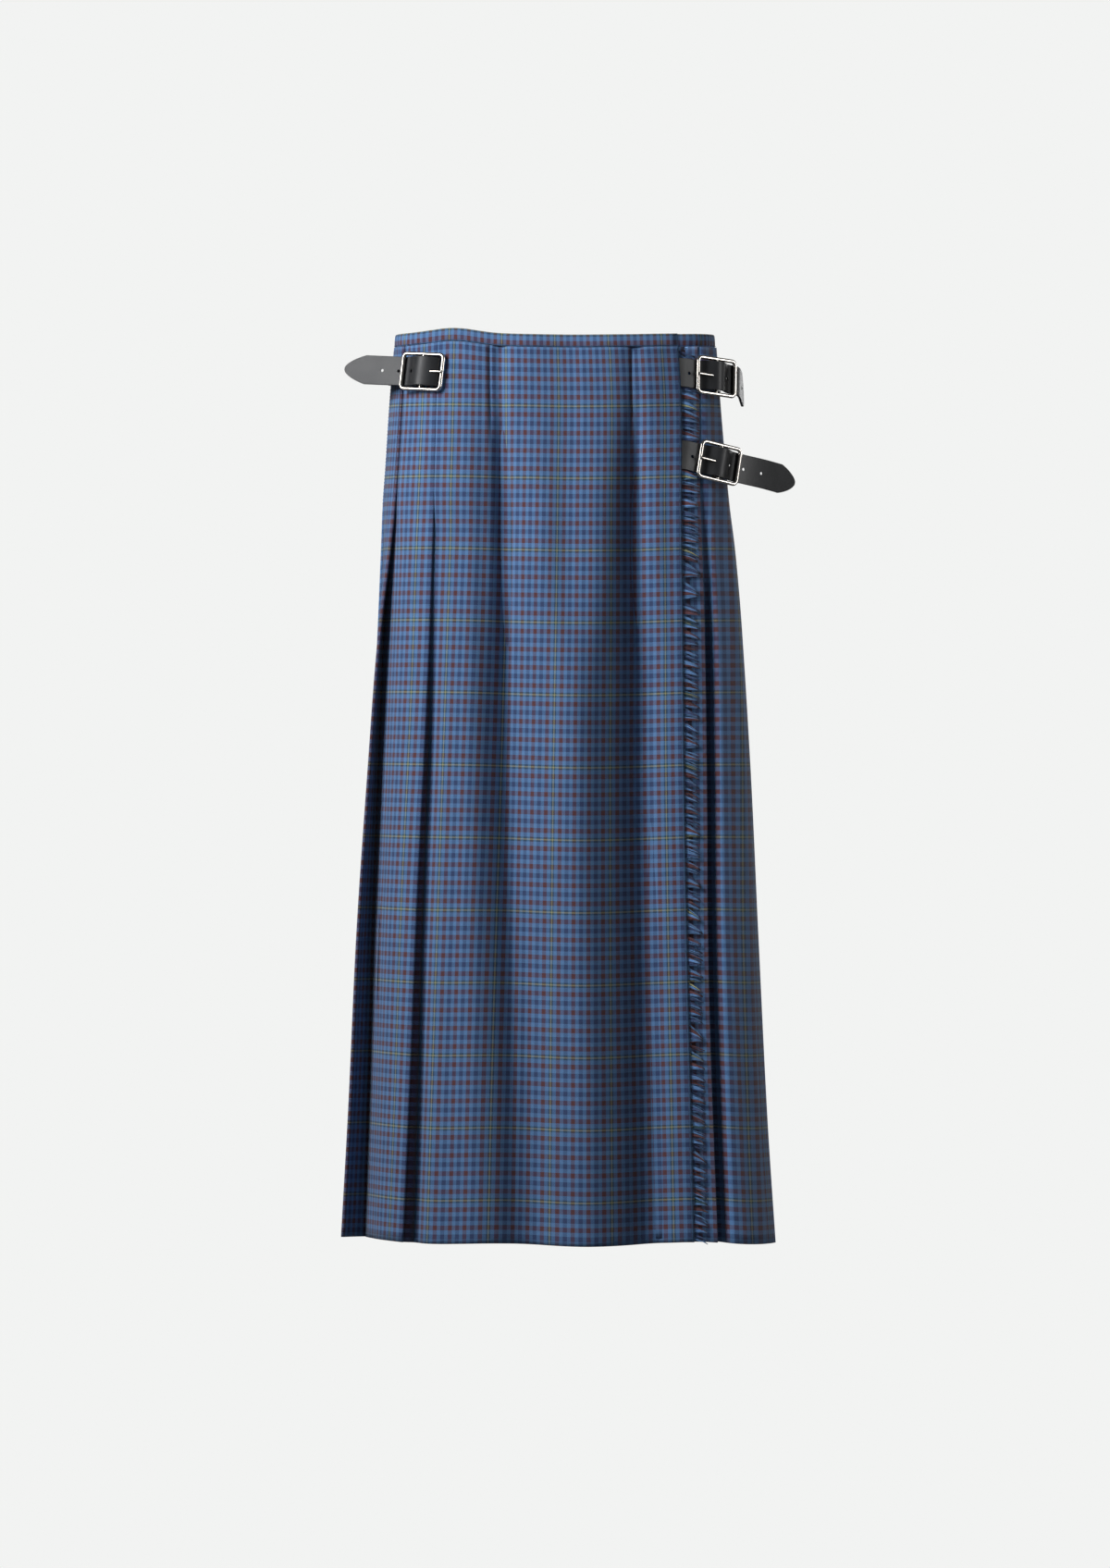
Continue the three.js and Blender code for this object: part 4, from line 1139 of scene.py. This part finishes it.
# The straps' tails at the left hip: along from the middle bar, how far they fall back, and how far up they go.
STRAIGHT_TAIL = [(22, 0.2, 0), (34, 2.2, 0.5), (48, 6, 1.4), (66, 12.5, 2.4), (90, 21.5, 3.2)]
CURLED_TAIL = [(22, 0.3, 0), (27, 2.2, -0.8), (32, 6.5, -3), (38, 13, -8), (44, 20, -15)]


def fastenings():
    """Each fastening's axes, strap, tab and holes. The axes' turn, lean and tilt are in degrees."""
    return {
        "right_hip": right_hip(),
        "left_hip_upper": left_hip(34, 32.6, (34, 7, -6), CURLED_TAIL, 2.4, (-27, 11, 34)),
        "left_hip_lower": left_hip(106, 31.6, (29, 3, -11.5), STRAIGHT_TAIL, 2.8, (-26, 10.5, 26.5, 47)),
    }


def strip_rings(path, distances, station, half_width, half_thick, bevel):
    """Rings of a leather strip along a path, as wide as the buckle's own upward axis."""
    centres = along_path(path, distances)
    tangent = along_path(path, distances + 0.4) - along_path(path, distances - 0.4)
    tangent /= np.linalg.norm(tangent, axis=1, keepdims=True)
    outward = np.cross(tangent, station.up)
    outward /= np.linalg.norm(outward, axis=1, keepdims=True)
    sideways = np.broadcast_to(station.up, centres.shape)
    return cross_rings(centres, sideways, outward, half_width, half_thick, bevel)[None]


def cut_away(obj, cutter):
    add_modifier(obj, "BOOLEAN", operation="DIFFERENCE", object=cutter, solver="EXACT")
    bpy.data.objects.remove(cutter, do_unlink=True)


def punch(obj, centre, direction, radius, length):
    """Cuts a round hole through a strap."""
    deselect()
    turn = Vector((0, 0, 1)).rotation_difference(Vector(direction)).to_euler()
    size = {"radius": radius / 1000, "depth": length / 1000}
    bpy.ops.mesh.primitive_cylinder_add(vertices=20, location=Vector(centre) / 1000, rotation=turn, **size)
    cut_away(obj, bpy.context.object)


class SKIRT_OT_straps(bpy.types.Operator):
    """The three leather straps, bent through their buckles, with shaped tips and punched holes"""

    bl_idname = "skirt.straps"
    bl_label = "Straps"

    def execute(self, context):
        bevel = settings()[2].edge * 1000
        tip = np.array([0.12, 0.25, 0.38, 0.5, 0.62, 0.73, 0.82, 0.9, 0.96, 0.995])
        narrowing = mix(np.sqrt(1 - tip**2), 1 - tip, 0.5) + 0.06 * tip
        half = np.concatenate([np.ones(90), narrowing]) * STRAP_WIDTH / 2
        for name, made in fastenings().items():
            station, path = made["station"], smooth_path(made["path"])
            curve, gone = path
            body = np.linspace(0, gone[-1] - STRAP_POINT, 90)
            distances = np.concatenate([body, gone[-1] - STRAP_POINT * (1 - tip)])
            rings = strip_rings(path, distances, station, half, STRAP_THICK / 2, bevel)
            obj = tubes("strap_leather_" + name, rings, smooth_angle=40)
            cross = station.place(made["cross"], PRONG_REST - PRONG_DIP)
            punch(obj, cross, station.along, PRONG_HOLE_RADIUS, 12)
            reach = (curve - station.origin) @ station.along
            for place in made["holes"]:
                start = len(gone) * 2 // 5 if place > 0 else 0
                at = gone[start + int(np.argmax(reach[start:] > place))]
                centre, ahead, behind = along_path(path, np.array([at, at + 0.5, at - 0.5]))
                square = np.cross(ahead - behind, station.up)
                square = square if square[1] < 0 else -square
                punch(obj, centre, square + np.array([0.0, -1.6, 0.0]), HOLE_RADIUS, 8)
            finish_piece(obj, "strap_leather_" + name, 40)
            dress(obj, "strap_leather", "strap_" + name)
        return {"FINISHED"}


class SKIRT_OT_tabs(bpy.types.Operator):
    """The short leather tabs that hold the buckles to the cloth"""

    bl_idname = "skirt.tabs"
    bl_label = "Buckle tabs"

    def execute(self, context):
        round_bar = BAR_RADIUS + SEAM_GAP + TAB_THICK / 2
        for name, made in fastenings().items():
            station = made["station"]
            angles = np.radians(np.linspace(20, made["leaves"], 7))
            loop = [station.place(round_bar * math.cos(a), round_bar * math.sin(a)) for a in angles]
            path = smooth_path([*loop, *made["sewn"]])
            distances = np.linspace(0, path[1][-1], 60)
            half = np.full(len(distances), TAB_WIDTH / 2)
            rings = strip_rings(path, distances, station, half, TAB_THICK / 2, TAB_BEVEL)
            obj = tubes("tab_leather_" + name, rings, smooth_angle=40)
            deselect()
            bpy.ops.mesh.primitive_cube_add(size=1)
            cutter = bpy.context.object
            slot = Matrix.Translation(Vector(station.place(-0.75)) / 1000) @ station.matrix().to_3x3().to_4x4()
            cutter.matrix_world = slot @ Matrix.Diagonal(TAB_SLOT)
            bpy.context.view_layer.update()
            cut_away(obj, cutter)
            finish_piece(obj, "tab_leather_" + name, 40)
            dress(obj, "strap_leather", "tab_" + name)
        return {"FINISHED"}


class SKIRT_OT_frames(bpy.types.Operator):
    """The buckles' rectangular wire frames with their middle bars"""

    bl_idname = "skirt.frames"
    bl_label = "Buckle frames"

    def execute(self, context):
        corner = settings()[3].corner
        wide, tall = (FRAME_LENGTH / 2 - FRAME_WIRE) / 1000, (FRAME_HEIGHT / 2 - FRAME_WIRE) / 1000
        bar = {"radius": BAR_RADIUS / 1000, "depth": 2 * tall}
        for name, made in fastenings().items():
            deselect()
            bpy.ops.mesh.primitive_plane_add(size=2)
            for v in bpy.context.object.data.vertices:
                v.co.x *= wide
                v.co.y *= tall
            bpy.ops.object.mode_set(mode="EDIT")
            bpy.ops.mesh.select_all(action="SELECT")
            bpy.ops.mesh.bevel(offset=corner, segments=6, affect="VERTICES")
            bpy.ops.mesh.select_all(action="SELECT")
            bpy.ops.mesh.delete(type="ONLY_FACE")
            bpy.ops.object.mode_set(mode="OBJECT")
            bpy.ops.object.convert(target="CURVE")
            wire = bpy.context.object.data
            wire.bevel_depth, wire.bevel_resolution = FRAME_WIRE / 1000, 4
            bpy.ops.object.convert(target="MESH")
            ring = bpy.context.object
            deselect()
            bpy.ops.mesh.primitive_cylinder_add(vertices=20, rotation=(math.pi / 2, 0, 0), **bar)
            bpy.ops.object.transform_apply(location=True, rotation=True, scale=True)
            join(ring, bpy.context.object)
            ring.data.transform(made["station"].matrix())
            finish_piece(ring, "frame_nickel_" + name, 45)
            dress(ring, "nickel", "frame_" + name)
        return {"FINISHED"}


class SKIRT_OT_prongs(bpy.types.Operator):
    """The buckles' prongs, looped round the middle bars and resting on the end bars"""

    bl_idname = "skirt.prongs"
    bl_label = "Buckle prongs"

    def execute(self, context):
        eye, end = BAR_RADIUS + SEAM_GAP + PRONG_RADIUS, -FRAME_LENGTH / 2
        sizes = {"major_radius": eye / 1000, "minor_radius": PRONG_RADIUS / 1000}
        steps = {"major_segments": 28, "minor_segments": 12}
        for name, made in fastenings().items():
            station = made["station"]
            deselect()
            bpy.ops.mesh.primitive_torus_add(rotation=(math.pi / 2, 0, 0), **sizes, **steps)
            loop = bpy.context.object
            bpy.ops.object.transform_apply(location=True, rotation=True, scale=True)
            loop.data.transform(station.matrix())
            line_of_pin = [
                (0, eye),
                (made["cross"], PRONG_REST - PRONG_DIP),
                (end + 5, PRONG_REST),
                (end + 1.7, PRONG_REST),
                (end - 0.8, PRONG_REST - 0.25),
            ]
            path = smooth_path([station.place(a, o) for a, o in line_of_pin])
            share = np.linspace(0, 1, 30)
            rounding = np.sqrt(np.clip(1 - ((share - 0.93) / 0.075) ** 2, 0.04, 1))
            radius = PRONG_RADIUS * np.where(share > 0.93, rounding, 1.0)
            rings = round_rings(along_path(path, share * path[1][-1]), radius, 12, station.up)
            pin = tubes("pin", rings[None])
            join(pin, loop)
            finish_piece(pin, "prong_nickel_" + name, 60)
            dress(pin, "nickel", "prong_" + name)
        return {"FINISHED"}


def normals_of(points, below):
    """Outward directions along a line on the cloth, square to it and to the way to a second line beside it."""
    n = np.cross(np.gradient(points, axis=0), below - points)
    n /= np.linalg.norm(n, axis=1, keepdims=True)
    away = points * np.array([1, 1, 0]) - np.array([5.0, 0, 0])
    return n * np.sign((n * away).sum(1, keepdims=True))


def stitch_row(points, below, lift, pitch, length, radius):
    """Short stitches along a line of points, each a small bowed thread that dips into the cloth at both ends."""
    points, below = np.array(points), np.array(below)
    n = normals_of(points, below)
    path = points + n * lift
    gone = lengths_along(path)
    t = np.linspace(0, 1, 5)
    where = np.arange(pitch / 2, gone[-1] - length, pitch)[:, None] + length * t
    bow = (0.22 * np.sin(np.pi * t) - 0.12)[None, :, None]
    centres = between(where, gone, path) + between(where, gone, n) * bow
    return round_rings(centres, radius, 4, np.array([0.13, 0.31, 0.94]))


class SKIRT_OT_stitching(bpy.types.Operator):
    """Rows of stitching: under the waistband, down the apron's edge, and along the pleats' stitched tops"""

    bl_idname = "skirt.stitching"
    bl_label = "Stitching"

    def execute(self, context):
        top = settings()[0].thickness * 1000 / 2
        seam = BAND_HEIGHT - 0.9
        shares, t = np.linspace(0.995, 0.005, 120), np.linspace(0, 1, 160)
        start = first_fold(Oval(seam), seam) + BAND_START
        end = last_fold(Oval(seam), seam) - 2
        apron, back = (
            [lifted(line_at(Oval(d), d), d) for d in (seam, seam + 2)]
            for line_at in (
                lambda oval, d: apron_point(oval, d, shares),
                lambda oval, d: oval.at(mix(start, end, t), -0.9),
            )
        )
        rows = [stitch_row(*both, 1.28, 2.8, 2.2, 0.16) for both in (apron, back)]
        edge, side = [], []
        for depth in np.linspace(BAND_HEIGHT + 2, SKIRT_LENGTH - 3, 200):
            oval, share = Oval(depth), apron_share(line("apron", depth) - 2.2, depth)
            edge.append(lifted(apron_point(oval, depth, share, creased=True), depth))
            side.append(lifted(apron_point(oval, depth, share - 0.01, creased=True), depth))
        rows.append(stitch_row(edge, side, top, 3.0, 2.3, 0.17))
        ovals = [(depth, Oval(depth)) for depth in np.linspace(BAND_HEIGHT + 2, OPEN_FROM, 30)]
        folds = [pleat_folds(oval, depth) for depth, oval in ovals]
        for k in range(1, 1 + BACK_PLEATS + 1):
            # The second pleat's stitches are thicker and lie on its very edge. They are real stitching, drawn thick and
            # dark to paint the shadow line along that edge.
            past, length, radius = (0.2, 2.8, 0.45) if k == 1 else (1.6, 2.0, 0.11)
            edge, side = (
                [lifted(oval.at(fold[k] + p, 0), depth) for (depth, oval), fold in zip(ovals, folds)]
                for p in (past, 4)
            )
            rows.append(stitch_row(edge, side, top, 3.0, length, radius))
        obj = tubes("stitching", np.concatenate(rows))
        dress(obj, "thread", slot="check_cloth")
        return {"FINISHED"}


# The lights: place, size and strength. One named a reflection shows in gloss alone, and any other lights alone.
def studio_lights(stage):
    return {
        "key light": ((-1.25, -0.95, 0.72), (0.7, 0.8), stage.key),
        "panel light": ((-0.85, -2.0, 0.35), (0.4, 0.8), stage.side * 3),
        "side light": ((1.9, -0.75, 0.1), (0.6, 1.2), stage.side * 0.3),
        "left reflection": ((-1.7, -1.1, 0.3), (0.9, 1.3), stage.side * 2.2),
        "right reflection": ((1.9, -0.85, 0.1), (0.7, 1.2), stage.side * 0.9),
        "rear reflection": ((1.6, 1.9, 0.2), (0.9, 1.2), stage.side * 1.2),
        "front light": ((0.3, -3.2, 0.9), (1.2, 1.2), stage.front),
        "back light": ((0.6, 2.6, 0.6), (1.8, 1.8), stage.front * 9),
    }


# What the lights for the side panel and the last pleats leave out, by the start of a name or a word in it.
FRONT_PIECES = ("apron_cloth", "under_apron", "pleats_right_cloth")
NO_PANEL_LIGHT = ("leather", "waistband")

class SKIRT_OT_stage(bpy.types.Operator):
    """The plain floor and backdrop, the soft studio lights and the camera"""

    bl_idname = "skirt.stage"
    bl_label = "Stage"

    def floor(self, stage):
        deselect()
        bpy.ops.mesh.primitive_circle_add(vertices=96, radius=24, fill_type="NGON", location=(0, 0, -1.35))
        floor = bpy.context.object
        floor.name = "floor"
        material, tree, shader = new_material("pale floor")
        away = node(tree, "ShaderNodeVectorMath", {0: own_place(tree)}, operation="LENGTH").outputs["Value"]
        reach = {"Value": away, "From Min": 0.8, "From Max": 3.4}
        fade = node(tree, "ShaderNodeMapRange", reach, interpolation_type="SMOOTHSTEP").outputs[0]
        fill(tree, shader, {
            "Base Color": blended(tree, fade, (0.75, 0.755, 0.75, 1), (0, 0, 0, 1)),
            "Emission Color": blended(tree, fade, (0.45, 0.45, 0.45, 1), (*stage.backdrop, 1)),
            "Emission Strength": 1,
            "Specular IOR Level": 0,
            "Roughness": 0.9,
        })
        floor.data.materials.append(material)
        floor.visible_diffuse = floor.visible_glossy = False
        return floor

    def backdrop(self, stage):
        deselect()
        bpy.ops.mesh.primitive_uv_sphere_add(segments=64, ring_count=32, radius=26, location=(0, 0, -1))
        dome = bpy.context.object
        dome.name = "backdrop"
        material, tree, shader = new_material("pale backdrop")
        fill(tree, shader, {
            "Base Color": (0, 0, 0, 1),
            "Specular IOR Level": 0,
            "Emission Color": (*stage.backdrop, 1),
            "Emission Strength": 1,
        })
        dome.data.materials.append(material)
        dome.visible_diffuse = dome.visible_glossy = dome.visible_shadow = False
        return dome

    def lights(self, stage):
        middle = Vector((0, 0, -0.38))
        for name, (place, size, power) in studio_lights(stage).items():
            bpy.ops.object.light_add(type="AREA", location=place)
            light = bpy.context.object
            light.name = name
            light.data.shape = "RECTANGLE"
            light.data.size, light.data.size_y = size
            light.data.energy = power
            light.rotation_euler = (middle - Vector(place)).to_track_quat("-Z", "Y").to_euler()
            light.visible_glossy = "reflection" in name
            light.visible_diffuse = "reflection" not in name
            if name not in ("side light", "panel light"):
                continue
            lit = bpy.data.collections.new("lit by the " + name)
            for piece in bpy.data.objects:
                hidden = piece.name.startswith(FRONT_PIECES)
                hidden = hidden or name == "panel light" and any(word in piece.name for word in NO_PANEL_LIGHT)
                if piece.type == "MESH" and not hidden:
                    lit.objects.link(piece)
            light.light_linking.receiver_collection = lit

    def execute(self, context):
        stage, scene = settings()[4], context.scene
        self.floor(stage)
        self.backdrop(stage)
        self.lights(stage)
        scene.world = scene.world or bpy.data.worlds.new("studio")
        scene.world.use_nodes = True
        tree = scene.world.node_tree
        fill(tree, tree.nodes["Background"], {"Color": (0.95, 0.97, 1, 1), "Strength": 0.1})
        place = (0, -stage.distance, CAMERA_HEIGHT)
        bpy.ops.object.camera_add(location=place, rotation=(math.pi / 2, 0, 0))
        scene.camera = bpy.context.object
        lens = scene.camera.data
        lens.sensor_fit, lens.sensor_width, lens.clip_end = "AUTO", 36, 100
        lens.lens = lens.sensor_width * (stage.distance - FRONT) / (PHOTO_HEIGHT * PIXEL)
        scene.view_settings.view_transform = "Standard"
        return {"FINISHED"}


class SKIRT_PT_panel(bpy.types.Panel):
    bl_label = "Wrap skirt"
    bl_idname = "SKIRT_PT_panel"
    bl_space_type = "VIEW_3D"
    bl_region_type = "UI"
    bl_category = "Wrap skirt"

    def draw(self, context):
        for group in settings():
            box = self.layout.box()
            for name in group.bl_rna.properties.keys():
                if name not in ("rna_type", "name"):
                    box.prop(group, name)
        for operator in OPERATORS:
            self.layout.operator(operator.bl_idname)


GROUPS = {
    "skirt_cloth": ClothSettings,
    "skirt_fringe": FringeSettings,
    "skirt_leather": LeatherSettings,
    "skirt_metal": MetalSettings,
    "skirt_stage": StageSettings,
}
OPERATORS = (
    SKIRT_OT_waistband,
    SKIRT_OT_apron,
    SKIRT_OT_under_apron,
    SKIRT_OT_pleats,
    SKIRT_OT_fringe,
    SKIRT_OT_straps,
    SKIRT_OT_tabs,
    SKIRT_OT_frames,
    SKIRT_OT_prongs,
    SKIRT_OT_stitching,
    SKIRT_OT_stage,
)


def register():
    for cls in (*GROUPS.values(), *OPERATORS, SKIRT_PT_panel):
        bpy.utils.register_class(cls)
    for name, group in GROUPS.items():
        setattr(bpy.types.Scene, name, PointerProperty(type=group))


def unregister():
    for name in GROUPS:
        delattr(bpy.types.Scene, name)
    for cls in reversed((*GROUPS.values(), *OPERATORS, SKIRT_PT_panel)):
        bpy.utils.unregister_class(cls)


def main():
    register()
    for operator in OPERATORS:
        prefix, action = operator.bl_idname.split(".")
        getattr(getattr(bpy.ops, prefix), action)()


if __name__ == "__main__":
    main()
